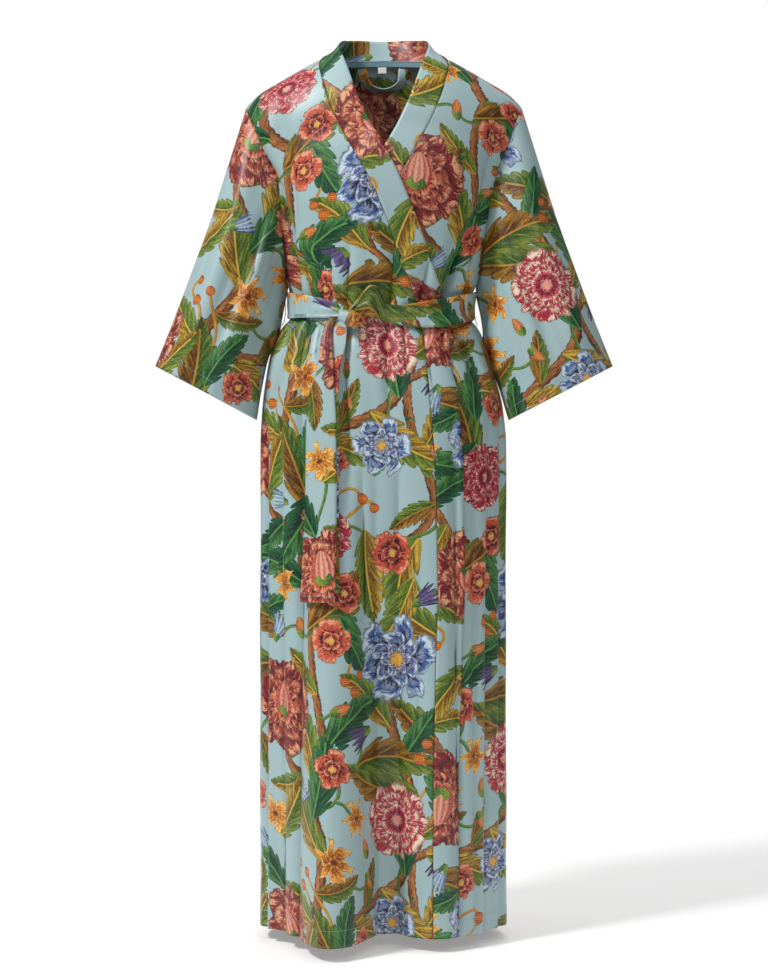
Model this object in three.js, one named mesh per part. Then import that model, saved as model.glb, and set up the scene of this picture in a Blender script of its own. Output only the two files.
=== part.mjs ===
// A long wrap robe with kimono sleeves, worn closed and tied with its own sash, on nobody.
// Millimetres, +Z up, the front faces -Y. The origin is the middle of the neck base, level with
// the points where the shoulder seams meet the collar band, which is where a wearer carries it.
//
// All the body cloth lies on one surface, bodyPoint(psi, down). psi is the angle round the body
// in degrees: 0 at the front centre, +90 at the +X side and 180 at the back centre. down is the
// length down the cloth from the shoulder seam. Pieces are walls raised on that surface.
import * as THREE from "three";

// ---- Driving dimensions ------------------------------------------------------------------
const CLOTH = 1.2; // thickness of a wall of cloth
const SASH_CLOTH = 1.5; // the sash is a doubled strip
const SEAM_GAP = 0.6; // clearance between two pieces where they are sewn together
const LAP = 4.6; // how far the upper front stands off the lower one where it laps
const NECK_HALF = 97; // from the centre to where the shoulder seam meets the band
const SHOULDER_HALF = 205; // from the centre to the end of the shoulder seam
const SHOULDER_ROUND = 110; // height over which the cloth turns over the shoulder
const SHOULDER_LENGTH = 157; // length of cloth in that turn
const UNDERARM_DOWN = 384; // length down the cloth to the foot of the armhole
const WAIST_DOWN = 420; // and to the middle of the sash
const HEM_DOWN = 1336; // and to the hem
const BACK_NECK_DOWN = 75; // and to the neck seam at the centre back
const BAND_WIDTH = 40; // of the collar band

const DEGREE = Math.PI / 180;

// ---- Tables ------------------------------------------------------------------------------
/** A smooth, never overshooting curve through the rows of a table, read by its first column. */
class Table {
  constructor(by, rows) {
    this.by = by;
    this.rows = rows;
  }

  slope(column, i) {
    const rows = this.rows;
    const rise = (k) => (rows[k + 1][column] - rows[k][column]) / (rows[k + 1][this.by] - rows[k][this.by]);
    if (i === 0) return rise(0);
    if (i === rows.length - 1) return rise(i - 1);
    const before = rise(i - 1);
    const after = rise(i);
    return before * after <= 0 ? 0 : (2 * before * after) / (before + after);
  }

  at(column, value) {
    const rows = this.rows;
    const last = rows.length - 1;
    if (value <= rows[0][this.by]) return rows[0][column];
    if (value >= rows[last][this.by]) return rows[last][column];
    let i = 0;
    while (value > rows[i + 1][this.by]) i += 1;
    const step = rows[i + 1][this.by] - rows[i][this.by];
    const f = (value - rows[i][this.by]) / step;
    const rest = 1 - f;
    return (
      rows[i][column] * (1 + 2 * f) * rest * rest +
      this.slope(column, i) * step * f * rest * rest +
      rows[i + 1][column] * f * f * (3 - 2 * f) -
      this.slope(column, i + 1) * step * f * f * rest
    );
  }
}

// Sections of the worn cloth. half is half the width, shift moves the section to one side, front
// and back are its depths from the middle, square is the exponent of the section's curve, and
// armhole is the angle at which the body cloth ends and the sleeve begins.
const SECTIONS = new Table("down", [
  { down: 0, half: 220, shift: 0, front: 95, back: 85, square: 2.2, armhole: 66 },
  { down: 50, half: 218, shift: 0, front: 95, back: 85, square: 2.2, armhole: 66 },
  { down: 100, half: 208, shift: 0, front: 95, back: 85, square: 2.2, armhole: 66 },
  { down: 157, half: 192, shift: 0, front: 96, back: 86, square: 2.2, armhole: 66.5 },
  { down: 200, half: 177.5, shift: 0, front: 104, back: 90, square: 2.2, armhole: 68 },
  { down: 250, half: 165.7, shift: 0, front: 107, back: 89, square: 2.2, armhole: 71 },
  { down: 300, half: 156, shift: 0, front: 104, back: 85, square: 2.2, armhole: 76 },
  { down: 345, half: 148.5, shift: -1, front: 99, back: 79, square: 2.2, armhole: 82 },
  { down: 384, half: 140, shift: -3, front: 93, back: 74, square: 2.2, armhole: 90 },
  { down: 402, half: 133.5, shift: -5.5, front: 88.5, back: 71.5, square: 2.2, armhole: 90 },
  { down: 421, half: 132, shift: -6, front: 86, back: 70, square: 2.2, armhole: 90 },
  { down: 434, half: 134, shift: -6, front: 86, back: 70, square: 2.2, armhole: 90 },
  { down: 443, half: 143, shift: -6.5, front: 86.5, back: 71.5, square: 2.2, armhole: 90 },
  { down: 459, half: 153, shift: -7, front: 91.5, back: 78.5, square: 2.2, armhole: 90 },
  { down: 482, half: 161.5, shift: -7.3, front: 98.5, back: 89, square: 2.25, armhole: 90 },
  { down: 520, half: 171.5, shift: -5.5, front: 104.3, back: 98.5, square: 2.3, armhole: 90 },
  { down: 565, half: 180, shift: -2.5, front: 108.5, back: 105.5, square: 2.3, armhole: 90 },
  { down: 620, half: 183.5, shift: -1, front: 111, back: 110, square: 2.35, armhole: 90 },
  { down: 800, half: 183.5, shift: -1, front: 114, back: 112, square: 2.4, armhole: 90 },
  { down: HEM_DOWN, half: 184, shift: -1, front: 117, back: 114, square: 2.4, armhole: 90 },
]);

// Height of the shoulder line above the origin, outwards from the centre. The back rises to the nape.
const SHOULDER = new Table("out", [
  { out: 0, front: 14, back: 42 },
  { out: 20, front: 13.5, back: 39.5 },
  { out: 38, front: 13, back: 34.3 },
  { out: 48, front: 12.6, back: 30.2 },
  { out: 58, front: 12, back: 26 },
  { out: 68, front: 10, back: 19.8 },
  { out: 80, front: 7, back: 12 },
  { out: NECK_HALF, front: 0, back: 0 },
  { out: 125, front: -15, back: -15 },
  { out: 158, front: -34, back: -34 },
  { out: 179, front: -46, back: -46 },
  { out: 193, front: -57, back: -57 },
  { out: SHOULDER_HALF, front: -70, back: -70 },
  { out: 222, front: -98, back: -98 },
]);

// The seam between the upper front and its band, by its place across the body. The lower
// front's seam is its mirror image.
const BAND_SEAM = new Table("down", [
  { down: 0, across: -97 },
  { down: 50, across: -96 },
  { down: 100, across: -89 },
  { down: 138, across: -77 },
  { down: 185, across: -54 },
  { down: 242, across: -21 },
  { down: 339, across: 20 },
  { down: 394, across: 39 },
  { down: 450, across: 52 },
  { down: 522, across: 61 },
  { down: 600, across: 69 },
  { down: 680, across: 74 },
  { down: 820, across: 76 },
  { down: 953, across: 73 },
  { down: 1134, across: 70 },
  { down: HEM_DOWN, across: 70 },
]);

// Large waves of the skirt, out (+) or in (-). Each grows from the length `from` to its full
// height at the hem, and drifts from the angle `top` to the angle `hem`.
const WAVES = [
  { name: "front flare", top: -23, hem: -21, breadth: 12, height: 68, from: 470 },
  { name: "front hollow", top: 2, hem: 4, breadth: 8.5, height: -40, from: 500 },
  { name: "fold beside the flare", top: -4.5, hem: -4, breadth: 3.6, height: -24, from: 500 },
  { name: "band swell", top: 24, hem: 27, breadth: 9, height: 7, from: 480 },
  { name: "hip hollow", top: 62, hem: 60, breadth: 8, height: -14, from: 520 },
  { name: "left hip hollow", top: -58, hem: -56, breadth: 8, height: -13, from: 540 },
  { name: "back swell right", top: 128, hem: 132, breadth: 10, height: 22, from: 480 },
  { name: "back hollow right", top: 152, hem: 155, breadth: 8, height: -26, from: 500 },
  { name: "back swell middle", top: 176, hem: 180, breadth: 9, height: 24, from: 520 },
  { name: "back hollow left", top: -154, hem: -151, breadth: 8, height: -24, from: 490 },
  { name: "back swell left", top: -130, hem: -128, breadth: 10, height: 20, from: 500 },
];

// Creases press into the cloth. Each comes in from `start` to `full` and fades from `keep` to `end`.
const CREASES = [
  // left of the sash end
  { top: -40, foot: -35, breadth: 4, depth: 10, start: 425, full: 470, keep: 640, end: 1000 },
  // right of the sash end
  { top: -18, foot: -15, breadth: 3.4, depth: 12, start: 425, full: 470, keep: 600, end: 760 },
  // fold under the knot
  { top: 4, foot: 3, breadth: 3.2, depth: 10, start: 425, full: 465, keep: 500, end: 640 },
  // hip drag
  { top: 44, foot: 58, breadth: 3.6, depth: 10, start: 430, full: 460, keep: 500, end: 600 },
  // front side drag
  { top: -56, foot: -64, breadth: 3.6, depth: 8, start: 430, full: 460, keep: 520, end: 680 },
  // lapel hollow
  { top: 4, foot: 5, breadth: 4.5, depth: 4, start: 250, full: 330, keep: 400, end: 432 },
  // bust drape right
  { top: -34, foot: -38, breadth: 4.5, depth: 7, start: 270, full: 370, keep: 400, end: 436 },
  // bust drape left
  { top: 42, foot: 46, breadth: 4.5, depth: 7, start: 290, full: 370, keep: 400, end: 436 },
  // armhole drape right
  { top: -62, foot: -68, breadth: 5, depth: 8, start: 150, full: 260, keep: 390, end: 436 },
  // armhole drape left
  { top: 62, foot: 68, breadth: 5, depth: 8, start: 170, full: 280, keep: 390, end: 436 },
  // back yoke drape right
  { top: 128, foot: 132, breadth: 5, depth: 7, start: 190, full: 340, keep: 400, end: 436 },
  // back yoke drape left
  { top: -126, foot: -131, breadth: 5, depth: 7, start: 180, full: 330, keep: 400, end: 436 },
];

// Gathers that the sash draws in.
const GATHERS = { count: 17, depth: 3.6, above: 62, below: 84 };

// The cuff, as the centre of its oval, half its length up the slanting arm and half its depth.
const CUFF = { out: 263, forward: 22, low: 498, half: 86, slopeOut: 0.887, slopeUp: 0.461, depth: 56 };

// How the sleeve leaves a straight line between the armhole and the cuff. right and left bring
// each sleeve's underside in towards the body, and lap brings its front in over the body's side.
const SLEEVE_BOW = new Table("along", [
  { along: 0, right: 0, left: 0, lap: 0, round: 0, over: 0 },
  { along: 0.1, right: 0, left: 2.5, lap: 5, round: 5, over: 1.5 },
  { along: 0.2, right: 0.5, left: 3, lap: 3, round: 9, over: 3 },
  { along: 0.34, right: 2, left: 6, lap: 1.5, round: 11.5, over: 5 },
  { along: 0.43, right: 2.2, left: 9.5, lap: 2.9, round: 12.8, over: 6 },
  { along: 0.52, right: -6.2, left: 7.5, lap: 4, round: 12.6, over: 5.8 },
  { along: 0.6, right: -7.8, left: 5.8, lap: 6.6, round: 11.5, over: 5.2 },
  { along: 0.78, right: -7, left: 2, lap: 5, round: 8.5, over: 3.8 },
  { along: 1, right: -4, left: 0, lap: 2, round: 0, over: 0 },
]);
const SLEEVE_LAP = { turn: 140, breadth: 28 };

// Folds along a sleeve. turn is the angle round it: 0 at the top of the shoulder, 90 in front,
// 180 under the arm and 270 behind.
const SLEEVE_FOLDS = [
  { name: "front trough", armhole: 104, cuff: 84, breadth: 11, depth: -9, start: 0.08, end: 0.95 },
  { name: "front ridge", armhole: 66, cuff: 56, breadth: 13, depth: 5, start: 0.05, end: 0.98 },
  { name: "underarm trough", armhole: 148, cuff: 128, breadth: 11, depth: -7, start: 0.03, end: 0.8 },
  { name: "back trough", armhole: 246, cuff: 262, breadth: 12, depth: -9, start: 0.08, end: 0.95 },
  { name: "back ridge", armhole: 290, cuff: 300, breadth: 13, depth: 5, start: 0.05, end: 0.98 },
  { name: "back underarm trough", armhole: 208, cuff: 224, breadth: 11, depth: -6, start: 0.03, end: 0.8 },
];

// The sash round the waist: its edges by length down the body, and how far it stands off. psi
// runs on past 180, round the back, so that the two ends of the strip lap at the knot.
const SASH = new Table("psi", [
  { psi: -20, top: 430, bottom: 434, stand: 2.4 },
  { psi: -16, top: 420, bottom: 436, stand: 4.5 },
  { psi: -12, top: 403, bottom: 437, stand: 8 },
  { psi: -9, top: 393, bottom: 438, stand: 10 },
  { psi: -6, top: 388, bottom: 439, stand: 10 },
  { psi: -3, top: 389.5, bottom: 441, stand: 8 },
  { psi: 0, top: 398, bottom: 443.5, stand: 5 },
  { psi: 4, top: 417, bottom: 447, stand: 2 },
  { psi: 12, top: 420, bottom: 452.5, stand: 0.5 },
  { psi: 22, top: 415, bottom: 455, stand: 0 },
  { psi: 34, top: 409.5, bottom: 454.5, stand: 0 },
  { psi: 44, top: 406, bottom: 450.5, stand: 0 },
  { psi: 62, top: 396, bottom: 442.5, stand: 0 },
  { psi: 90, top: 390, bottom: 438, stand: 0 },
  { psi: 180, top: 389, bottom: 430, stand: 0 },
  { psi: 270, top: 391, bottom: 433, stand: 0 },
  { psi: 300, top: 398, bottom: 440, stand: 0 },
  { psi: 320, top: 406, bottom: 440, stand: 0 },
  { psi: 335, top: 417, bottom: 440, stand: 0 },
  { psi: 342, top: 424, bottom: 439, stand: 0 },
]);

// The two hanging ends of the sash, by length down the body cloth: where each lies, how wide it
// is and how far it stands off. The end behind shows only along one edge of the end in front.
const SASH_ENDS = new Table("down", [
  { down: 440, front: -69, frontWidth: 11, back: -60, backWidth: 21, stand: 8 },
  { down: 457, front: -78, frontWidth: 11.5, back: -62, backWidth: 20, stand: 7.5 },
  { down: 479, front: -80.5, frontWidth: 16, back: -65, backWidth: 22, stand: 7 },
  { down: 515, front: -81, frontWidth: 21, back: -75, backWidth: 25, stand: 6.4 },
  { down: 559, front: -86, frontWidth: 35, back: -81, backWidth: 34, stand: 6.4 },
  { down: 602, front: -86, frontWidth: 39, back: -82, backWidth: 38, stand: 6.4 },
  { down: 700, front: -85, frontWidth: 39, back: -82, backWidth: 38, stand: 6.4 },
  { down: 800, front: -86, frontWidth: 40, back: -82, backWidth: 40, stand: 6.4 },
  { down: 851, front: -88, frontWidth: 43, back: -83, backWidth: 42, stand: 6.8 },
]);

// ---- Small maths -------------------------------------------------------------------------
const mix = (a, b, f) => a + (b - a) * f;
const clamp = (v) => Math.min(1, Math.max(0, v));
const smooth = (v) => clamp(v) ** 2 * (3 - 2 * clamp(v));
const bell = (v) => Math.exp(-v * v);
const turnBetween = (a, b) => ((((a - b) % 360) + 540) % 360) - 180;
const steps = (low, high, count) => Array.from({ length: count + 1 }, (_, i) => mix(low, high, i / count));

// ---- The worn cloth ----------------------------------------------------------------------
/** How far the section's curve is from its middle at an angle, as a share of half and depth. */
function sectionReach(psi, square) {
  const s = Math.abs(Math.sin(psi * DEGREE)) ** square;
  const c = Math.abs(Math.cos(psi * DEGREE)) ** square;
  return (s + c) ** (-1 / square);
}

/** The angle at which the section of this length reaches a place across the body, in front. */
function angleAt(across, down) {
  const half = SECTIONS.at("half", down);
  const square = SECTIONS.at("square", down);
  const away = across - SECTIONS.at("shift", down);
  const share = Math.min(0.9999, Math.abs(away) / half);
  const angle = Math.atan2(share, (1 - share ** square) ** (1 / square)) / DEGREE;
  return Math.sign(away) * angle;
}

/** How far the cloth has fallen, and how much of its depth it has reached, after a length. */
function fallOf(down) {
  if (down >= SHOULDER_LENGTH) return { fall: SHOULDER_ROUND + down - SHOULDER_LENGTH, depth: 1 };
  const turn = ((Math.PI / 2) * down) / SHOULDER_LENGTH;
  return { fall: SHOULDER_ROUND * (1 - Math.cos(turn)), depth: Math.sin(turn) };
}

/** Large waves of the skirt. */
function waveAt(psi, down) {
  let sum = 0;
  for (const wave of WAVES) {
    const share = clamp((down - wave.from) / (HEM_DOWN - wave.from));
    const middle = mix(wave.top, wave.hem, share);
    sum += wave.height * share ** 1.15 * bell(turnBetween(psi, middle) / wave.breadth);
  }
  return sum;
}

/** Creases and gathers, which only press inwards. */
function creaseAt(psi, down) {
  let sum = 0;
  for (const crease of CREASES) {
    const share = clamp((down - crease.start) / (crease.end - crease.start));
    const come = smooth((down - crease.start) / (crease.full - crease.start));
    const go = 1 - smooth((down - crease.keep) / (crease.end - crease.keep));
    const middle = mix(crease.top, crease.foot, share);
    sum += crease.depth * come * go * bell(turnBetween(psi, middle) / crease.breadth);
  }
  const away = down - WAIST_DOWN;
  const near = bell(away / (away < 0 ? GATHERS.above : GATHERS.below));
  const uneven = psi + 6 * Math.sin(3 * psi * DEGREE) + 4 * Math.sin(5 * psi * DEGREE + 1);
  sum += GATHERS.depth * near * (0.5 - 0.5 * Math.cos(GATHERS.count * uneven * DEGREE));
  return sum;
}

/** A point of the body cloth. creased is 1 for the cloth and 0 for what lies over its creases. */
function bodyPoint(psi, down, creased = 1) {
  const half = SECTIONS.at("half", down);
  const square = SECTIONS.at("square", down);
  const { fall, depth } = fallOf(down);
  const inFront = Math.cos(psi * DEGREE) >= 0;
  const deep = depth * SECTIONS.at(inFront ? "front" : "back", down);
  const reach = sectionReach(psi, square);
  const sine = Math.sin(psi * DEGREE);
  const cosine = Math.cos(psi * DEGREE);
  const out = waveAt(psi, down) - creased * creaseAt(psi, down) * depth;
  const x = half * reach * sine;
  const settle = 1 - smooth(down / UNDERARM_DOWN);
  const z = SHOULDER.at(inFront ? "front" : "back", Math.abs(x)) * settle - fall;
  // The section's own normal, level with the ground, is where waves and creases move it.
  const nx = Math.sign(sine) * (Math.abs(sine) * reach) ** (square - 1) * deep;
  const ny = -Math.sign(cosine) * (Math.abs(cosine) * reach) ** (square - 1) * half;
  const length = Math.hypot(nx, ny) || 1;
  const across = x + SECTIONS.at("shift", down);
  return new THREE.Vector3(across + (out * nx) / length, (out * ny) / length - deep * reach * cosine, z);
}

/** A point of the front by its place across the body, before waves and creases move it. */
function frontPoint(across, down, creased = 1) {
  return bodyPoint(angleAt(across, down), down, creased);
}

/** How far the upper front stands off, so that it clears the front beneath it. */
function lapAt(across, down) {
  const upperEdge = BAND_SEAM.at("across", down) + BAND_WIDTH + 3;
  const lowerEdge = 2 * SECTIONS.at("shift", down) - upperEdge;
  return LAP * smooth((across - lowerEdge + 45) / 37);
}

// ---- Walls of cloth ----------------------------------------------------------------------
/** Outward unit normal of a surface patch at (u, v), by small steps. */
function normalAt(surface, u, v, stepU, stepV, turned) {
  const across = surface(u + stepU, v).sub(surface(u - stepU, v));
  const along = surface(u, v + stepV).sub(surface(u, v - stepV));
  return across.cross(along).multiplyScalar(turned).normalize();
}

/** Triangles of a closed solid from rows of points: rings when closed, else both faces and a rim. */
function geometryOf(points, triangles) {
  const volume = triangles.reduce((sum, [a, b, c]) => {
    const cross = new THREE.Vector3().crossVectors(points[b], points[c]);
    return sum + points[a].dot(cross);
  }, 0);
  const facing = volume < 0 ? triangles.map(([a, b, c]) => [a, c, b]) : triangles;
  const geometry = new THREE.BufferGeometry().setFromPoints(points);
  geometry.setIndex(facing.flat());
  geometry.computeVertexNormals();
  return geometry;
}

/**
 * A closed wall on a surface patch. us and vs are the grid, low(u, v) and high(u, v) the heights
 * of its two faces over the surface, and turned is 1 or -1, to make the normal point outwards.
 * round joins the last column to the first, as in a sleeve. crossed splits each cell of the grid
 * along its other diagonal, for a piece that must fold exactly as the piece under it.
 */
function wall({
  surface, us, vs, low, high, turned = 1, round = false, crossed = false, stepU = 0.02, stepV = 0.5,
}) {
  const columns = round ? us.slice(0, -1) : us;
  const width = columns.length;
  const points = [];
  for (const face of [low, high]) {
    for (const v of vs) {
      for (const u of columns) {
        const normal = normalAt(surface, u, v, stepU, stepV, turned);
        points.push(surface(u, v).addScaledVector(normal, face(u, v)));
      }
    }
  }
  const half = width * vs.length;
  const at = (side, row, column) => side * half + row * width + (column % width);
  const triangles = [];
  const quad = (a, b, c, d) => triangles.push([a, b, c], [a, c, d]);
  for (let row = 0; row + 1 < vs.length; row += 1) {
    for (let column = 0; column + 1 < us.length; column += 1) {
      for (const side of [0, 1]) {
        const [a, b] = [at(side, row, column), at(side, row + 1, column)];
        const [c, d] = [at(side, row + 1, column + 1), at(side, row, column + 1)];
        const turns = crossed ? [b, c, d, a] : [a, b, c, d];
        quad(...(side === 0 ? turns : [turns[0], turns[3], turns[2], turns[1]]));
      }
    }
  }
  const last = vs.length - 1;
  for (let column = 0; column + 1 < us.length; column += 1) {
    quad(at(0, 0, column), at(0, 0, column + 1), at(1, 0, column + 1), at(1, 0, column));
    quad(at(0, last, column + 1), at(0, last, column), at(1, last, column), at(1, last, column + 1));
  }
  if (!round) {
    const side = width - 1;
    for (let row = 0; row < last; row += 1) {
      quad(at(0, row + 1, 0), at(0, row, 0), at(1, row, 0), at(1, row + 1, 0));
      quad(at(0, row, side), at(0, row + 1, side), at(1, row + 1, side), at(1, row, side));
    }
  }
  return geometryOf(points, triangles);
}

/** A closed solid through rings of points, with a point at each end. */
function ringSolid(rings, first, last) {
  const size = rings[0].length;
  const points = [first, ...rings.flat(), last];
  const at = (ring, k) => 1 + ring * size + (k % size);
  const triangles = [];
  for (let k = 0; k < size; k += 1) {
    triangles.push([0, at(0, k), at(0, k + 1)]);
    triangles.push([points.length - 1, at(rings.length - 1, k + 1), at(rings.length - 1, k)]);
    for (let ring = 0; ring + 1 < rings.length; ring += 1) {
      triangles.push([at(ring, k), at(ring + 1, k), at(ring + 1, k + 1)]);
      triangles.push([at(ring, k), at(ring + 1, k + 1), at(ring, k + 1)]);
    }
  }
  return geometryOf(points, triangles);
}

// ---- Grids shared by the body panels -----------------------------------------------------
const DOWN_ROWS = [
  ...steps(SEAM_GAP, SHOULDER_LENGTH, 6),
  195, 240, 285, 320, 350, UNDERARM_DOWN, 402, 421, 438, 456, 482, 520, 565, 620,
  700, 790, 880, 970, 1060, 1150, 1240, HEM_DOWN,
];
/**
 * Columns of a front, as places from its side (0) to its band seam (3). The two fronts and the
 * bands share the angles at the whole numbers, so that they follow the same folds where they lap:
 * 1 is where the other front's band ends and 2 is where the other front itself ends.
 */
const FRONT_COLUMNS = [
  ...steps(0, 1, 11), ...steps(1, 2, 3).slice(1), ...steps(2, 3, 13).slice(1),
];
const LEAST_LAP = 4; // degrees from the centre, over which the grids come apart above the lap

/** Angle of a column of the upper front. The lower front's is its mirror image. */
function frontColumn(column, down) {
  const edge = -Math.min(SECTIONS.at("armhole", down), 89.8);
  const seam = angleAt(BAND_SEAM.at("across", down), down);
  const band = angleAt(BAND_SEAM.at("across", down) + BAND_WIDTH, down) - seam;
  const apart = smooth((LEAST_LAP - seam) / 14);
  const other = seam >= LEAST_LAP ? -seam : seam - 2 * LEAST_LAP;
  const inner = mix(other, mix(edge, seam, 0.56), apart);
  const outer = mix(inner - band, mix(edge, seam, 0.42), apart);
  const stops = [edge, outer, inner, seam];
  const i = Math.min(2, Math.max(0, Math.floor(column)));
  return mix(stops[i], stops[i + 1], column - i);
}

// ---- Pieces ------------------------------------------------------------------------------
/** A front, from its side seam and armhole to its band. upper is the one that laps over. */
function frontPanel(upper) {
  const side = upper ? -1 : 1;
  const surface = (column, down) => bodyPoint(-side * frontColumn(column, down), down);
  const lift = (column, down) => (upper ? lapAt(surface(column, down).x, down) : 0);
  return wall({
    surface,
    us: upper ? FRONT_COLUMNS : [...FRONT_COLUMNS].reverse(),
    vs: DOWN_ROWS,
    low: lift,
    high: (column, down) => lift(column, down) + CLOTH,
    turned: side,
    stepU: 0.01,
  });
}

/** Share of the way from the centre back to the armhole at which the neckline ends. */
const NECK_SHARE = angleAt(NECK_HALF, 0) / SECTIONS.at("armhole", 0);

/** Length down the back at which the cloth begins, for a share of the way to the armhole. */
function backNeckDown(share) {
  const s = Math.abs(share) / NECK_SHARE;
  return s >= 1 ? 0 : BACK_NECK_DOWN * Math.sqrt(1 - s * s);
}

/** A point of the back. share is 0 at the centre and 1 or -1 at an armhole or side seam. */
function backPoint(share, down, creased = 1) {
  const edge = Math.min(SECTIONS.at("armhole", Math.max(0, down)), 89.8);
  return bodyPoint(180 - share * edge, Math.max(0, down), creased);
}

/** The back, in one piece, with its neckline scooped out. */
function backPanel() {
  const settle = (down) => 1 - smooth(down / 260);
  const surface = (share, down) => backPoint(share, down + backNeckDown(share) * settle(down));
  const neckColumns = steps(0, 1, 6).map((part) => NECK_SHARE * Math.sin(part * 90 * DEGREE));
  const armColumns = steps(NECK_SHARE, 1, 9).slice(1);
  const right = [...neckColumns, ...armColumns];
  const us = [...right.slice(1).reverse().map((v) => -v), ...right];
  return wall({ surface, us, vs: DOWN_ROWS, low: () => 0, high: () => CLOTH, turned: -1, stepU: 0.003 });
}

/** The collar band's path: the upper front from hem to neck, round the nape, and down the lower front. */
const BAND_STATIONS = (() => {
  const frontDowns = [
    HEM_DOWN, 1240, 1150, 1060, 970, 880, 790, 700, 620, 565, 520, 482, 456, 438, 421, 402, 384, 350,
    315, 280, 245, 215, 185, 160, 138, 118, 100, 82, 64, 46, 28,
  ];
  const backShares = [0.93, 0.82, 0.68, 0.5, 0.27, 0];
  const front = frontDowns.map((down) => ({ down, share: null }));
  const back = backShares.map((part) => ({ down: null, share: part * NECK_SHARE }));
  const near = [...front, ...back].map((s) => ({ ...s, side: -1 }));
  const far = [...near].slice(0, -1).reverse().map((s) => ({ ...s, side: 1 }));
  return [...near, ...far];
})();

/** Seam point, direction of the width, and surface of the band at one station. */
function bandRow(station, w) {
  const { side, down, share } = station;
  if (share !== null) {
    const seam = backPoint(side * share, backNeckDown(share) - SEAM_GAP);
    const round = share / NECK_SHARE;
    const up = new THREE.Vector3(-side * 0.6 * round ** 2, 0.38 * (1 - round), 0.92).normalize();
    const inside = new THREE.Vector3(-side * CLOTH * round, -CLOTH * 1.2, 0);
    return seam.addScaledVector(up, 0.8 + w * BAND_WIDTH).add(inside);
  }
  const upper = side < 0;
  const stand = 1 - smooth((down - 20) / 95);
  const ahead = BAND_SEAM.at("across", down + 4) - BAND_SEAM.at("across", down - 4);
  const length = Math.hypot(ahead, 8);
  const across = BAND_SEAM.at("across", down);
  const gap = 2 * SEAM_GAP + 0.2 + stand * CLOTH;
  const reach = gap + w * BAND_WIDTH;
  const place = across + (reach * 8) / length;
  const lower = down - (reach * ahead) / length;
  const turn = upper ? 1 : -1;
  const foot = Math.min(HEM_DOWN, Math.max(0, lower));
  const flat = bodyPoint(turn * angleAt(place, foot), foot);
  const root = bodyPoint(turn * angleAt(across + gap, down), down);
  const up = new THREE.Vector3(-side * 0.62, 0.02, 0.78).normalize();
  const standing = root.addScaledVector(up, w * BAND_WIDTH);
  return flat.lerp(standing, stand);
}

/** The collar band, in one piece. */
function collarBand() {
  const count = BAND_STATIONS.length;
  const surface = (w, s) => {
    const i = Math.min(count - 2, Math.max(0, Math.floor(s)));
    return bandRow(BAND_STATIONS[i], w).lerp(bandRow(BAND_STATIONS[i + 1], w), s - i);
  };
  const lift = (w, s) => {
    const station = BAND_STATIONS[Math.min(count - 1, Math.max(0, Math.round(s)))];
    if (station.share !== null || station.side > 0) return 0;
    return lapAt(surface(w, s).x, station.down);
  };
  return wall({
    surface,
    us: [0, 1 / 3, 2 / 3, 1],
    vs: steps(0, count - 1, count - 1),
    low: lift,
    high: (w, s) => lift(w, s) + CLOTH,
    crossed: true,
    stepU: 0.05,
    stepV: 0.3,
  });
}

/** A point of the armhole's edge. turn is 0 at the shoulder, 90 in front, 180 under the arm. */
function armholePoint(side, turn) {
  const front = turn <= 180;
  const down = (UNDERARM_DOWN * (front ? turn : 360 - turn)) / 180;
  const edge = SECTIONS.at("armhole", down);
  return bodyPoint(side * (front ? edge : 180 - edge), down);
}

/** A point of a sleeve. along is 0 at the armhole and 1 at the cuff. */
function sleevePoint(side, turn, along) {
  const t = ((turn % 360) + 360) % 360;
  const c = Math.cos(t * DEGREE);
  const s = Math.sin(t * DEGREE);
  const clear = 1.5 * SEAM_GAP + 0.4 * (1 - c) + 5.5 * bell(turnBetween(t, 180) / 48);
  const start = armholePoint(side, t).add(new THREE.Vector3(side * clear, 0, 0));
  const end = new THREE.Vector3(
    side * (CUFF.out + c * CUFF.half * CUFF.slopeOut),
    -CUFF.forward - s * CUFF.depth,
    -CUFF.low + c * CUFF.half * CUFF.slopeUp,
  );
  const point = start.lerp(end, along);
  const lapped = bell(turnBetween(t, SLEEVE_LAP.turn) / SLEEVE_LAP.breadth);
  const under = SLEEVE_BOW.at(side < 0 ? "right" : "left", along) * (0.5 - 0.5 * c) ** 2;
  const inward = under + SLEEVE_BOW.at("lap", along) * lapped;
  const over = SLEEVE_BOW.at("over", along) * (0.5 + 0.5 * c) ** 2;
  const round = SLEEVE_BOW.at("round", along) * s * Math.abs(s);
  point.add(new THREE.Vector3(-side * (inward + over), -round, 0));
  let fold = 0;
  for (const row of SLEEVE_FOLDS) {
    const middle = mix(row.armhole, row.cuff, along);
    const come = smooth((along - row.start) / 0.2);
    const go = 1 - 0.6 * smooth((along - row.end + 0.25) / 0.25);
    fold += row.depth * come * go * bell(turnBetween(t, middle) / row.breadth);
  }
  const lean = (fold * c) / 2;
  return point.add(new THREE.Vector3(side * lean * CUFF.slopeOut, -fold * s, lean * CUFF.slopeUp));
}

/** A sleeve, open at the armhole and the cuff. Its columns meet the rows of the body panels. */
function sleeve(side) {
  const half = DOWN_ROWS.filter((down) => down <= UNDERARM_DOWN).map((down) => (180 * down) / UNDERARM_DOWN);
  const turns = [0, ...half.slice(1), ...half.slice(1, -1).reverse().map((turn) => 360 - turn), 360];
  return wall({
    surface: (turn, along) => sleevePoint(side, turn, along),
    us: turns,
    vs: [0.002, 0.05, 0.12, 0.2, 0.29, 0.39, 0.5, 0.61, 0.72, 0.82, 0.91, 1],
    low: () => 0,
    high: () => CLOTH,
    turned: side,
    round: true,
    stepU: 0.5,
    stepV: 0.004,
  });
}

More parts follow.
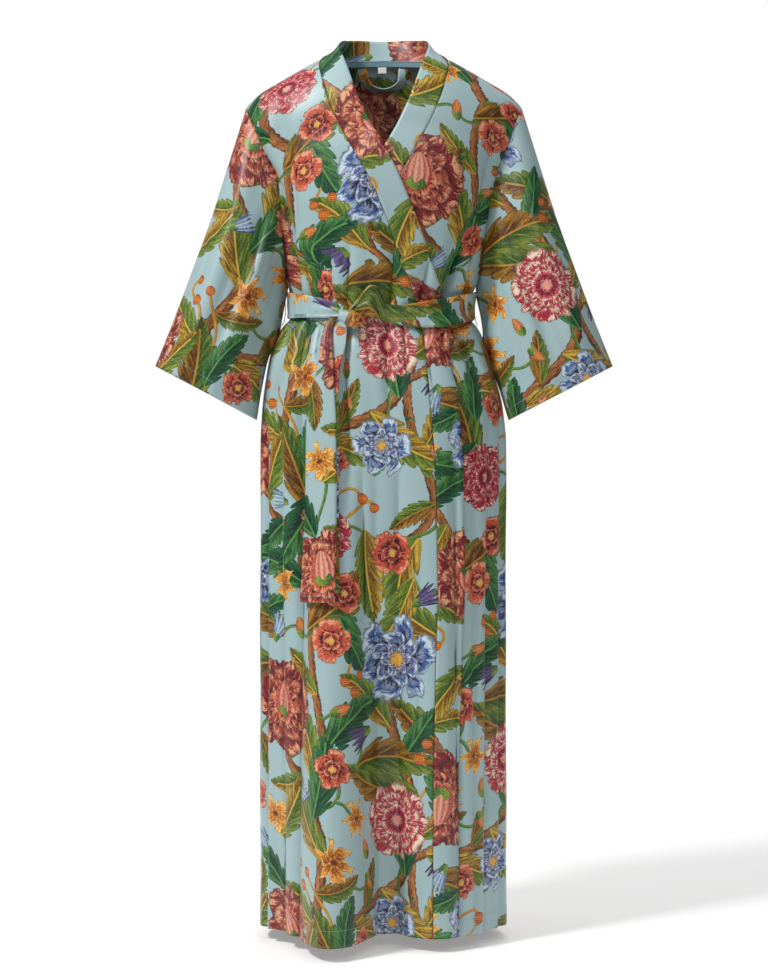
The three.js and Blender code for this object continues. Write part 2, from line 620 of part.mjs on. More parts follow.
/** How far a sash would lie from the body cloth, clear of the fronts where they lap. */
function sashBed(psi) {
  const across = bodyPoint(psi, WAIST_DOWN, 0).x;
  const inFront = smooth((Math.cos(psi * DEGREE) + 0.05) / 0.1);
  return CLOTH + 1.5 + inFront * Math.max(lapAt(across, WAIST_DOWN - 20), lapAt(across, WAIST_DOWN + 20));
}

/** The sash round the waist, from the end that comes over the knot to the end that goes under. */
function sashWaist() {
  return wall({
    surface: (psi, w) => bodyPoint(psi, mix(SASH.at("top", psi), SASH.at("bottom", psi), w), 0),
    us: [...steps(-20, 10, 12), ...steps(10, 300, 50).slice(1), ...steps(300, 342, 9).slice(1)],
    vs: [0, 0.5, 1],
    low: (psi) => sashBed(psi) + SASH.at("stand", psi),
    high: (psi) => sashBed(psi) + SASH.at("stand", psi) + SASH_CLOTH,
    turned: -1,
    stepU: 0.4,
    stepV: 0.01,
  });
}

/** A flattened lump of wound cloth, with grooves where the turns of the sash meet. */
function windings({ centre, half, tilt, grooves, groove, rings = 12, sides = 18 }) {
  const rows = [];
  const turned = (p) => p.applyAxisAngle(new THREE.Vector3(0, 1, 0), tilt * DEGREE).add(centre);
  const at = (latitude, longitude) => {
    const c = Math.cos(latitude) ** 0.7;
    const pressed = 1 - groove * (0.5 - 0.5 * Math.cos(grooves * latitude * 2));
    return turned(
      new THREE.Vector3(
        half.x * Math.sin(latitude),
        -half.y * c * Math.cos(longitude) * pressed,
        half.z * c * Math.sin(longitude) * pressed,
      ),
    );
  };
  for (let i = 1; i < rings; i += 1) {
    const latitude = -Math.PI / 2 + (Math.PI * i) / rings;
    rows.push(Array.from({ length: sides }, (_, k) => at(latitude, (2 * Math.PI * k) / sides)));
  }
  return ringSolid(rows, at(-Math.PI / 2, 0), at(Math.PI / 2, 0));
}

/** One hanging end of the sash, in front or behind. */
function sashEnd(name, { behind, shorter }) {
  const surface = (w, down) => {
    const across = SASH_ENDS.at(name, down) + w * SASH_ENDS.at(name + "Width", down);
    return frontPoint(across, down, 0);
  };
  const low = (w, down) => LAP + SASH_ENDS.at("stand", down) - behind;
  return wall({
    surface,
    us: [-0.5, -0.25, 0, 0.25, 0.5],
    vs: [440, 448, 457, 467, 479, 496, 515, 537, 559, 580, 602, 650, 700, 750, 800, 851 - shorter],
    low,
    high: (w, down) => low(w, down) + SASH_CLOTH,
    turned: -1,
    stepU: 0.02,
  });
}

/** A strip swept along a path, flat across `wide` at the ends and turned on edge at the middle. */
function ribbon({ path, width, thick, count, twist }) {
  const curve = new THREE.CatmullRomCurve3(path);
  const rows = [];
  for (let i = 0; i <= count; i += 1) {
    const s = i / count;
    const tangent = curve.getTangentAt(s);
    const turn = twist * Math.sin(Math.PI * s) * DEGREE;
    const flat = new THREE.Vector3(0, 1, 0).cross(tangent).normalize();
    const across = flat.applyAxisAngle(tangent, turn);
    const through = across.clone().cross(tangent).normalize();
    const middle = curve.getPointAt(s);
    const corner = (a, b) => middle.clone()
      .addScaledVector(across, (a * width) / 2)
      .addScaledVector(through, (b * thick) / 2);
    rows.push([corner(-1, -1), corner(1, -1), corner(1, 1), corner(-1, 1)]);
  }
  return ringSolid(rows, curve.getPointAt(0), curve.getPointAt(1));
}

/** The narrow tape that covers the neck seam inside the back. */
const TAPE = { half: 59, height: 10, inside: 4.8, thick: 1 };
function neckPoint(across, height) {
  const share = angleShare(across);
  const seam = backPoint(share, backNeckDown(share));
  return new THREE.Vector3(seam.x, seam.y - TAPE.inside, seam.z + height);
}
/** Share of the back at which the neck seam has a place across the body. */
function angleShare(across) {
  let low = -NECK_SHARE;
  let high = NECK_SHARE;
  for (let i = 0; i < 40; i += 1) {
    const middle = (low + high) / 2;
    if (backPoint(middle, backNeckDown(middle)).x < across) low = middle;
    else high = middle;
  }
  return (low + high) / 2;
}
function neckTape() {
  return wall({
    surface: (across, height) => neckPoint(across, height),
    us: steps(-TAPE.half, TAPE.half, 16),
    vs: [-TAPE.height / 2, TAPE.height / 2],
    low: () => 0,
    high: () => TAPE.thick,
    turned: 1,
    stepU: 0.5,
    stepV: 0.5,
  });
}

// The loop's path, from the tape down and up to it again.
const LOOP = [
  { across: -33.5, high: -0.4, forward: -0.5 },
  { across: -30, high: -16, forward: 0.6 },
  { across: -19, high: -29.5, forward: 3 },
  { across: -1, high: -35, forward: 5 },
  { across: 15, high: -31, forward: 4 },
  { across: 27, high: -19, forward: 1.5 },
  { across: 30, high: -0.4, forward: -0.5 },
];

/** The loop that the robe is hung up by, inside the back neck. */
function hangingLoop() {
  const inside = neckPoint(0, 0).y - 3.2;
  const path = LOOP.map(({ across, high, forward }) => new THREE.Vector3(across, inside - forward, high));
  return ribbon({ path, width: 15, thick: 1.4, count: 24, twist: 72 });
}

/** A plain woven label under the tape. */
function neckLabel() {
  return wall({
    surface: (across, height) => neckPoint(across, height).sub(new THREE.Vector3(0, 1.1 - height * 0.06, 0)),
    us: [-9, -4.7, -0.3, 4],
    vs: [-15, -10, -5.4],
    low: () => 0,
    high: () => 0.6,
    turned: 1,
    stepU: 0.5,
    stepV: 0.5,
  });
}

// A thread loop's path at a side seam, by length down the body and how far it stands out.
const THREAD_LOOP = [
  { down: 381, out: 2.2 },
  { down: 386, out: 3.6 },
  { down: 391, out: 6.4 },
  { down: 396, out: 7.6 },
  { down: 408, out: 8.5 },
  { down: 420, out: 8.6 },
  { down: 430, out: 8.4 },
  { down: 437, out: 6.8 },
  { down: 443, out: 2.5 },
];
const THREAD_RADIUS = 0.8;

/** A thread loop at a side seam, which holds the sash. */
function sashLoop(side) {
  const path = THREAD_LOOP.map(({ down, out }) =>
    bodyPoint(side * 90, down, 0).add(new THREE.Vector3(side * (CLOTH + out), 0, 0)),
  );
  const section = new THREE.Shape();
  section.absarc(0, 0, THREAD_RADIUS, 0, 2 * Math.PI, false);
  return new THREE.ExtrudeGeometry(section, {
    steps: 16, curveSegments: 3, extrudePath: new THREE.CatmullRomCurve3(path),
  });
}

// ---- The robe ----------------------------------------------------------------------------
const clothOf = (color, roughness) => new THREE.MeshStandardMaterial({ color, roughness, metalness: 0 });
const FABRIC = clothOf(0x9fb9bd, 0.45);
const TAPE_CLOTH = clothOf(0x6f929f, 0.5);
const LABEL_CLOTH = clothOf(0xefefec, 0.6);
const THREAD = clothOf(0x7f9a9c, 0.7);

const robe = new THREE.Group();
function add(name, geometry, material) {
  const mesh = new THREE.Mesh(geometry, material);
  mesh.name = name;
  robe.add(mesh);
}

const sashFront = bodyPoint(angleAt(-40, WAIST_DOWN), WAIST_DOWN, 0).y - LAP - CLOTH - SASH_CLOTH;

add("front_right", frontPanel(true), FABRIC);
add("front_left", frontPanel(false), FABRIC);
add("back", backPanel(), FABRIC);
add("sleeve_right", sleeve(-1), FABRIC);
add("sleeve_left", sleeve(1), FABRIC);
add("collar_band", collarBand(), FABRIC);
add("sash_waist", sashWaist(), FABRIC);
add(
  "sash_knot",
  windings({
    centre: new THREE.Vector3(-47, sashFront - 16, -394),
    half: new THREE.Vector3(20, 9.5, 12),
    tilt: 17,
    grooves: 2,
    groove: 0.16,
  }),
  FABRIC,
);
add("sash_end_front", sashEnd("front", { behind: 0, shorter: 0 }), FABRIC);
add("sash_end_back", sashEnd("back", { behind: 3.4, shorter: 14 }), FABRIC);
add("neck_tape", neckTape(), TAPE_CLOTH);
add("hanging_loop", hangingLoop(), FABRIC);
add("neck_label", neckLabel(), LABEL_CLOTH);
add("sash_loop_right", sashLoop(-1), THREAD);
add("sash_loop_left", sashLoop(1), THREAD);

export default robe;
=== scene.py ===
"""Looks of a long wrap robe with kimono sleeves, filled out as if worn and tied with its sash.

The body cloth lies on one surface, WornCloth.point(psi, down). psi is the angle round the body in
degrees, 0 at the front centre and +90 at the +X side, and down is the length down the cloth from
the shoulder seam. Lengths on the cloth are in millimetres, and meshes are made in metres.
"""
from __future__ import annotations

import logging
import math
from dataclasses import dataclass, field, replace
from enum import Enum, IntEnum
from typing import Callable, Iterable, Sequence

import bpy
import numpy as np
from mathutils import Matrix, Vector

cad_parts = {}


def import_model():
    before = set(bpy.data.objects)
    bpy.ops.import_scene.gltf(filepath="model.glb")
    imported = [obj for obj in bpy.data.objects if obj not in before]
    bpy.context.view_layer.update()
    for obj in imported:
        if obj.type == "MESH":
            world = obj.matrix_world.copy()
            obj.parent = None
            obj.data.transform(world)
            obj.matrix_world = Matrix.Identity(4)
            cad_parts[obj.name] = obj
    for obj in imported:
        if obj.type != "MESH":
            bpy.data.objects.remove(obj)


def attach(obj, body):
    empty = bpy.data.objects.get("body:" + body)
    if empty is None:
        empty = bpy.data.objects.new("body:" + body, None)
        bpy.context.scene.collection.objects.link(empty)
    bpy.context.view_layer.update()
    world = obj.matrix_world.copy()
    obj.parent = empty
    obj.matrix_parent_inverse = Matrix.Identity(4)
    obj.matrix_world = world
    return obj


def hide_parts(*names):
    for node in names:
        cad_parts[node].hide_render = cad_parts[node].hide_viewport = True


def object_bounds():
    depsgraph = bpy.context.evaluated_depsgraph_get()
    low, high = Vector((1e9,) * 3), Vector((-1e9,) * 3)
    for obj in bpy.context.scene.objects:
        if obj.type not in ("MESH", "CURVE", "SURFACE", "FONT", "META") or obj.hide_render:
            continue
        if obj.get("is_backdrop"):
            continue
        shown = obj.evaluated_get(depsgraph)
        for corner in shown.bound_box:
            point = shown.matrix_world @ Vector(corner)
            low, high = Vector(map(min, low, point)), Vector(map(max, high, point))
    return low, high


log = logging.getLogger("robe")

MM = 0.001
BODY = "root"
Array = np.ndarray


# ---- Small maths -------------------------------------------------------------------------
def mix(a: Array | float, b: Array | float, f: Array | float) -> Array | float:
    """The value that lies the share f of the way from a to b."""
    return a + (b - a) * f


def smooth(v: Array | float) -> Array:
    """An even rise from 0 to 1 while v goes from 0 to 1."""
    v = np.clip(v, 0.0, 1.0)
    return v * v * (3 - 2 * v)


def bell(v: Array | float) -> Array:
    """A hump of height 1 at 0 that fades by about 2."""
    return np.exp(-np.square(v))


def turn_between(a: Array | float, b: Array | float) -> Array:
    """The turn from angle b to angle a, in degrees from -180 to 180."""
    return (np.asarray(a) - b + 540.0) % 360.0 - 180.0


def sin_deg(v: Array | float) -> Array:
    """Sine of an angle in degrees."""
    return np.sin(np.radians(v))


def cos_deg(v: Array | float) -> Array:
    """Cosine of an angle in degrees."""
    return np.cos(np.radians(v))


class Table:
    """A smooth, never overshooting curve through rows of numbers, read by its first column."""

    def __init__(self, columns: str, rows: Sequence[Sequence[float]]) -> None:
        """Names the columns and works out each one's slopes.

        Args:
            columns: names of the columns, the first of which the table is read by.
            rows: a row of numbers for each section, in rising order of the first.
        """
        names = columns.split()
        data = np.array(rows, dtype=float)
        self.keys = data[:, 0]
        self.values = {name: data[:, i] for i, name in enumerate(names)}
        self.slopes = {name: self._slopes(self.values[name]) for name in names}

    def _slopes(self, column: Array) -> Array:
        """Slopes at the rows, flat where the column turns back."""
        rise = np.diff(column) / np.diff(self.keys)
        before, after = rise[:-1], rise[1:]
        safe = np.where(before * after > 0, before + after, 1.0)
        inner = np.where(before * after > 0, 2 * before * after / safe, 0.0)
        return np.concatenate([rise[:1], inner, rise[-1:]])

    def at(self, name: str, value: Array | float) -> Array:
        """The named column at a value of the first one, held level past the ends."""
        v = np.clip(np.asarray(value, dtype=float), self.keys[0], self.keys[-1])
        i = np.clip(np.searchsorted(self.keys, v, side="right") - 1, 0, len(self.keys) - 2)
        step = self.keys[i + 1] - self.keys[i]
        f = (v - self.keys[i]) / step
        rest = 1 - f
        low, high, slope = self.values[name][i], self.values[name][i + 1], self.slopes[name]
        return (low * (1 + 2 * f) * rest * rest + slope[i] * step * f * rest * rest
                + high * f * f * (3 - 2 * f) - slope[i + 1] * step * f * f * rest)


# ---- Driving dimensions and sections, in millimetres and degrees ---------------------------
CLOTH = 1.2
SASH_CLOTH = 1.5
SEAM_GAP = 0.3
LAP = 4.6
NECK_HALF = 97.0
SHOULDER_ROUND = 110.0
SHOULDER_LENGTH = 157.0
UNDERARM_DOWN = 384.0
WAIST_DOWN = 420.0
HEM_DOWN = 1336.0
BACK_NECK_DOWN = 75.0
BAND_WIDTH = 40.0
HEM_FOLD = 24.0
GRID = 4.4  # spacing of the cloth's grid

SECTIONS = Table("down half shift front back square armhole", [
    (0, 220, 0, 95, 85, 2.2, 66),
    (50, 218, 0, 95, 85, 2.2, 66),
    (100, 208, 0, 95, 85, 2.2, 66),
    (157, 192, 0, 96, 86, 2.2, 66.5),
    (200, 177.5, 0, 104, 90, 2.2, 68),
    (250, 165.7, 0, 107, 89, 2.2, 71),
    (300, 156, 0, 104, 85, 2.2, 76),
    (345, 148.5, -1, 99, 79, 2.2, 82),
    (384, 140, -3, 93, 74, 2.2, 90),
    (402, 133.5, -5.5, 88.5, 71.5, 2.2, 90),
    (421, 132, -6, 86, 70, 2.2, 90),
    (434, 134, -6, 86, 70, 2.2, 90),
    (443, 143, -6.5, 86.5, 71.5, 2.2, 90),
    (459, 153, -7, 91.5, 78.5, 2.2, 90),
    (482, 161.5, -7.3, 98.5, 89, 2.25, 90),
    (520, 171.5, -5.5, 104.3, 98.5, 2.3, 90),
    (565, 180, -2.5, 108.5, 105.5, 2.3, 90),
    (620, 183.5, -1, 111, 110, 2.35, 90),
    (800, 183.5, -1, 114, 112, 2.4, 90),
    (HEM_DOWN, 184, -1, 117, 114, 2.4, 90),
])
SHOULDER = Table("out front back", [
    (0, 14, 42),
    (20, 13.5, 39.5),
    (38, 13, 34.3),
    (48, 12.6, 30.2),
    (58, 12, 26),
    (68, 10, 19.8),
    (80, 7, 12),
    (NECK_HALF, 0, 0),
    (125, -15, -15),
    (158, -34, -34),
    (179, -46, -46),
    (193, -57, -57),
    (205, -70, -70),
    (222, -98, -98),
])
BAND_SEAM = Table("down across", [
    (0, -97),
    (50, -96),
    (100, -89),
    (138, -77),
    (185, -54),
    (242, -21),
    (339, 20),
    (394, 39),
    (450, 52),
    (522, 61),
    (600, 69),
    (680, 74),
    (820, 76),
    (953, 73),
    (1134, 70),
    (HEM_DOWN, 70),
])
SASH = Table("psi top bottom stand", [
    (-20, 430, 434, 2.4),
    (-16, 420, 436, 4.5),
    (-12, 403, 437, 8),
    (-9, 393, 438, 10),
    (-6, 388, 439, 10),
    (-3, 389.5, 441, 8),
    (0, 398, 443.5, 5),
    (4, 417, 447, 2),
    (12, 420, 452.5, 0.5),
    (22, 415, 455, 0),
    (34, 409.5, 454.5, 0),
    (44, 406, 450.5, 0),
    (62, 396, 442.5, 0),
    (90, 390, 438, 0),
    (180, 389, 430, 0),
    (270, 391, 433, 0),
    (300, 398, 440, 0),
    (320, 406, 440, 0),
    (335, 417, 440, 0),
    (342, 424, 439, 0),
])
SASH_ENDS = Table("down front frontWidth back backWidth stand", [
    (440, -69, 11, -60, 21, 8),
    (457, -78, 11.5, -62, 20, 7.5),
    (479, -80.5, 16, -65, 22, 7),
    (515, -81, 21, -75, 25, 6.4),
    (559, -86, 35, -81, 34, 6.4),
    (602, -86, 39, -82, 38, 6.4),
    (700, -85, 39, -82, 38, 6.4),
    (800, -86, 40, -82, 40, 6.4),
    (851, -88, 43, -83, 42, 6.8),
])
SLEEVE_BOW = Table("along right left lap round over", [
    (0, 0, 0, 0, 0, 0),
    (0.1, 0, 2.5, 5, 5, 1.5),
    (0.2, 0.5, 3, 3, 9, 3),
    (0.34, 2, 6, 1.5, 11.5, 5),
    (0.43, 2.2, 9.5, 2.9, 12.8, 6),
    (0.52, -6.2, 7.5, 4, 12.6, 5.8),
    (0.6, -7.8, 5.8, 6.6, 11.5, 5.2),
    (0.78, -7, 2, 5, 8.5, 3.8),
    (1, -4, 0, 2, 0, 0),
])
SLEEVE_LAP = (140.0, 28.0)  # turn round the sleeve, and breadth


@dataclass(frozen=True)
class Wave:
    """A large wave of the skirt, which grows from the length start to its height at the hem."""

    top: float
    hem: float
    breadth: float
    height: float
    start: float


@dataclass(frozen=True)
class Crease:
    """A crease pressed into the body cloth, which comes in by full and fades after keep."""

    top: float
    foot: float
    breadth: float
    depth: float
    start: float
    full: float
    keep: float
    end: float


@dataclass(frozen=True)
class SleeveFold:
    """A fold along a sleeve, by its turn round the sleeve at the armhole and at the cuff."""

    armhole: float
    cuff: float
    breadth: float
    depth: float
    start: float
    end: float


@dataclass(frozen=True)
class Cuff:
    """The cuff's oval: its centre, half its length up the slanting arm and half its depth."""

    out: float = 263.0
    forward: float = 22.0
    low: float = 498.0
    half: float = 86.0
    slope_out: float = 0.887
    slope_up: float = 0.461
    depth: float = 56.0


WAVES = (
    Wave(-23, -21, 12, 68, 470),
    Wave(2, 4, 8.5, -40, 500),
    Wave(-4.5, -4, 3.6, -24, 500),
    Wave(24, 27, 9, 7, 480),
    Wave(62, 60, 8, -14, 520),
    Wave(-58, -56, 8, -13, 540),
    Wave(128, 132, 10, 22, 480),
    Wave(152, 155, 8, -26, 500),
    Wave(176, 180, 9, 24, 520),
    Wave(-154, -151, 8, -24, 490),
    Wave(-130, -128, 10, 20, 500),
)
# The creases that the solids have too come first, then the finer ones.
CREASES = (
    Crease(-40, -35, 4, 10, 425, 470, 640, 1000),
    Crease(-18, -15, 3.4, 12, 425, 470, 600, 760),
    Crease(4, 3, 3.2, 10, 425, 465, 500, 640),
    Crease(44, 58, 3.6, 10, 430, 460, 500, 600),
    Crease(-56, -64, 3.6, 8, 430, 460, 520, 680),
    Crease(4, 5, 4.5, 4, 250, 330, 400, 432),
    Crease(-34, -38, 4.5, 7, 270, 370, 400, 436),
    Crease(42, 46, 4.5, 7, 290, 370, 400, 436),
    Crease(-62, -68, 5, 8, 150, 260, 390, 436),
    Crease(62, 68, 5, 8, 170, 280, 390, 436),
    Crease(128, 132, 5, 7, 190, 340, 400, 436),
    Crease(-126, -131, 5, 7, 180, 330, 400, 436),
    Crease(5.8, 5.8, 1.8, 8, 325, 365, 415, 434),
    Crease(12, 9, 2.4, 5, 300, 350, 410, 434),
    Crease(-60, -63, 3.6, 11, 250, 330, 395, 434),
    Crease(-51, -49, 2.2, 9, 320, 372, 408, 436),
    Crease(-41, -40, 2.0, 8, 335, 380, 408, 436),
    Crease(-30, -31, 2.2, 8, 300, 365, 408, 436),
    Crease(-18, -21, 2.4, 6, 310, 375, 408, 436),
    Crease(51, 44, 2.4, 10, 290, 365, 408, 434),
    Crease(40, 36, 2.0, 8, 325, 375, 408, 434),
    Crease(60, 41, 2.6, 7, 225, 310, 395, 430),
    Crease(26, 25, 2.0, 7, 330, 380, 408, 434),
    Crease(-66, -70, 3.0, 8, 120, 210, 330, 400),
    Crease(-45, -56, 4.0, 7, 60, 150, 250, 330),
    Crease(52, 64, 4.0, 7, 60, 150, 240, 320),
    Crease(-45, -42, 2.0, 8, 432, 449, 475, 545),
    Crease(-34, -31, 1.8, 6, 432, 449, 470, 530),
    Crease(-25, -22, 1.9, 6, 432, 449, 465, 560),
    Crease(-7, -4, 1.8, 5, 430, 450, 470, 540),
    Crease(13, 15, 1.8, 5, 436, 455, 475, 560),
    Crease(43, 61, 2.3, 11, 438, 453, 492, 528),
    Crease(34, 38, 2.0, 6, 436, 456, 480, 600),
    Crease(24, 25, 2.0, 5, 436, 456, 480, 640),
    Crease(-52, -49, 3, 8.7, 520, 720, 1336, 1500),
    Crease(-35, -37, 2.8, 9.4, 560, 800, 1336, 1500),
    Crease(-10, -9, 2.4, 11, 560, 800, 1336, 1500),
    Crease(7, 10, 2.8, 7.2, 560, 760, 1336, 1500),
    Crease(17, 16, 2.2, 4.3, 700, 900, 1336, 1500),
    Crease(32, 34, 2.8, 8, 560, 780, 1336, 1500),
    Crease(43, 45, 2.2, 5.8, 640, 860, 1336, 1500),
    Crease(55, 53, 3, 8.7, 520, 740, 1336, 1500),
    Crease(-68, -70, 3.2, 8.7, 500, 700, 1336, 1500),
    Crease(70, 72, 3.2, 8.7, 500, 700, 1336, 1500),
    Crease(108, 106, 3.2, 8.7, 470, 700, 1336, 1500),
    Crease(140, 142, 3, 8.7, 470, 720, 1336, 1500),
    Crease(-110, -108, 3.2, 8.7, 470, 700, 1336, 1500),
    Crease(-142, -140, 3, 8.7, 470, 720, 1336, 1500),
    Crease(168, 165, 3, 8.7, 470, 700, 1336, 1500),
    Crease(-170, -166, 3, 8.7, 470, 700, 1336, 1500),
    Crease(150, 146, 2.6, 6, 300, 380, 405, 434),
    Crease(166, 164, 2.4, 5, 320, 385, 405, 434),
    Crease(-148, -145, 2.6, 6, 300, 380, 405, 434),
    Crease(-167, -165, 2.4, 5, 320, 385, 405, 434),
    Crease(146, 149, 2.4, 6, 430, 448, 480, 560),
    Crease(-150, -152, 2.4, 6, 430, 448, 480, 560),
    Crease(178, 178, 2.4, 6, 430, 448, 490, 580),
)
SLEEVE_FOLDS = (
    SleeveFold(104, 84, 11, -9, 0.08, 0.95),
    SleeveFold(66, 56, 13, 5, 0.05, 0.98),
    SleeveFold(148, 128, 11, -7, 0.03, 0.8),
    SleeveFold(246, 262, 12, -9, 0.08, 0.95),
    SleeveFold(290, 300, 13, 5, 0.05, 0.98),
    SleeveFold(208, 224, 11, -6, 0.03, 0.8),
    SleeveFold(122, 108, 5, -2.5, 0.05, 0.7),
    SleeveFold(48, 36, 6, -2.5, 0.25, 0.9),
    SleeveFold(312, 322, 6, -2.5, 0.25, 0.9),
    SleeveFold(88, 70, 5, -3.5, 0.3, 1.1),
    SleeveFold(134, 118, 4.5, -4, 0.02, 0.75),
    SleeveFold(112, 96, 4, 2.5, 0.1, 0.9),
    SleeveFold(270, 286, 5, -3.5, 0.3, 1.1),
    SleeveFold(226, 242, 4.5, -4, 0.02, 0.75),
    SleeveFold(30, 22, 6, -3, 0.35, 1.1),
    SleeveFold(334, 340, 6, -3, 0.35, 1.1),
)
GATHERS = 17
GATHER_DEPTH = 3.6


# ---- The worn cloth ------------------------------------------------------------------------
class WornCloth:
    """The surface that the robe's body cloth lies on, in millimetres."""

    def reach(self, psi: Array, square: Array) -> Array:
        """How far the section is from its middle at an angle, as a share of its half sizes."""
        power = np.abs(sin_deg(psi)) ** square + np.abs(cos_deg(psi)) ** square
        return power ** (-1 / square)

    def angle_at(self, across: Array | float, down: Array | float) -> Array:
        """Angle at which the section of this length reaches a place across the front."""
        half, square = SECTIONS.at("half", down), SECTIONS.at("square", down)
        away = across - SECTIONS.at("shift", down)
        share = np.minimum(0.9999, np.abs(away) / half)
        angle = np.degrees(np.arctan2(share, (1 - share ** square) ** (1 / square)))
        return np.sign(away) * angle

    def wave(self, psi: Array, down: Array) -> Array:
        """Large waves of the skirt."""
        total = np.zeros(np.broadcast(psi, down).shape)
        for wave in WAVES:
            share = np.clip((down - wave.start) / (HEM_DOWN - wave.start), 0, 1)
            middle = mix(wave.top, wave.hem, share)
            total += wave.height * share ** 1.15 * bell(turn_between(psi, middle) / wave.breadth)
        return total

    def crease(self, psi: Array, down: Array) -> Array:
        """Creases, the gathers at the waist and the cloth's slight unevenness, inwards."""
        total = np.zeros(np.broadcast(psi, down).shape)
        for c in CREASES:
            share = np.clip((down - c.start) / (c.end - c.start), 0, 1)
            come = smooth((down - c.start) / (c.full - c.start))
            go = 1 - smooth((down - c.keep) / (c.end - c.keep))
            middle = mix(c.top, c.foot, share)
            total += c.depth * come * go * bell(turn_between(psi, middle) / c.breadth)
        away = down - WAIST_DOWN
        near = bell(away / np.where(away < 0, 62.0, 84.0))
        uneven = psi + 6 * sin_deg(3 * psi) + 4 * np.sin(np.radians(5 * psi) + 1)
        total += GATHER_DEPTH * near * (0.5 - 0.5 * cos_deg(GATHERS * uneven))
        ripple = np.sin(np.radians(9 * psi) + down / 61) * np.sin(np.radians(5 * psi) - down / 97 + 2)
        return total + 0.9 * (1 + ripple) * smooth((down - 60) / 200)

    def point(self, psi: Array, down: Array, creased: float = 1.0) -> Array:
        """Points of the cloth.

        Args:
            psi: angles round the body.
            down: lengths down the cloth.
            creased: 1 for the cloth itself and 0 for what lies over its creases.

        Returns:
            An array of points with the shape of psi and down.
        """
        psi, down = np.broadcast_arrays(np.asarray(psi, float), np.asarray(down, float))
        half, square = SECTIONS.at("half", down), SECTIONS.at("square", down)
        turn = np.pi / 2 * np.clip(down / SHOULDER_LENGTH, 0, 1)
        fall = np.where(down < SHOULDER_LENGTH, SHOULDER_ROUND * (1 - np.cos(turn)),
                        SHOULDER_ROUND + down - SHOULDER_LENGTH)
        depth = np.where(down < SHOULDER_LENGTH, np.sin(turn), 1.0)
        sine, cosine = sin_deg(psi), cos_deg(psi)
        in_front = cosine >= 0
        deep = depth * np.where(in_front, SECTIONS.at("front", down), SECTIONS.at("back", down))
        reach = self.reach(psi, square)
        out = self.wave(psi, down) - creased * self.crease(psi, down) * depth
        x = half * reach * sine
        settle = 1 - smooth(down / UNDERARM_DOWN)
        ridge = np.where(in_front, SHOULDER.at("front", np.abs(x)), SHOULDER.at("back", np.abs(x)))
        nx = np.sign(sine) * (np.abs(sine) * reach) ** (square - 1) * deep
        ny = -np.sign(cosine) * (np.abs(cosine) * reach) ** (square - 1) * half
        length = np.maximum(np.hypot(nx, ny), 1e-9)
        return np.stack([x + SECTIONS.at("shift", down) + out * nx / length,
                         -deep * reach * cosine + out * ny / length, ridge * settle - fall], axis=-1)

    def front(self, across: Array, down: Array, creased: float = 1.0) -> Array:
        """Points of the front by their place across the body."""
        return self.point(self.angle_at(across, down), down, creased)

    def lap(self, across: Array, down: Array) -> Array:
        """How far the upper front stands off, so that it clears the front beneath it."""
        lower_edge = 2 * SECTIONS.at("shift", down) - (BAND_SEAM.at("across", down) + BAND_WIDTH + 3)
        return LAP * smooth((across - lower_edge + 45) / 37)

    def back(self, share: Array, down: Array) -> Array:
        """Points of the back. share is 0 at its centre and 1 or -1 at its side."""
        down = np.maximum(down, 0)
        edge = np.minimum(SECTIONS.at("armhole", down), 89.9)
        return self.point(180 - share * edge, down)


CLOTH_BODY = WornCloth()
NECK_SHARE = float(CLOTH_BODY.angle_at(NECK_HALF, 0.0) / SECTIONS.at("armhole", 0.0))


def back_neck_down(share: Array | float) -> Array:
    """Length down the back at which the scooped neckline runs."""
    s = np.minimum(1, np.abs(share) / NECK_SHARE)
    return BACK_NECK_DOWN * np.sqrt(1 - s * s)


# ---- Walls of cloth ------------------------------------------------------------------------
Surface = Callable[[Array, Array], Array]
Height = Callable[[Array, Array], Array]


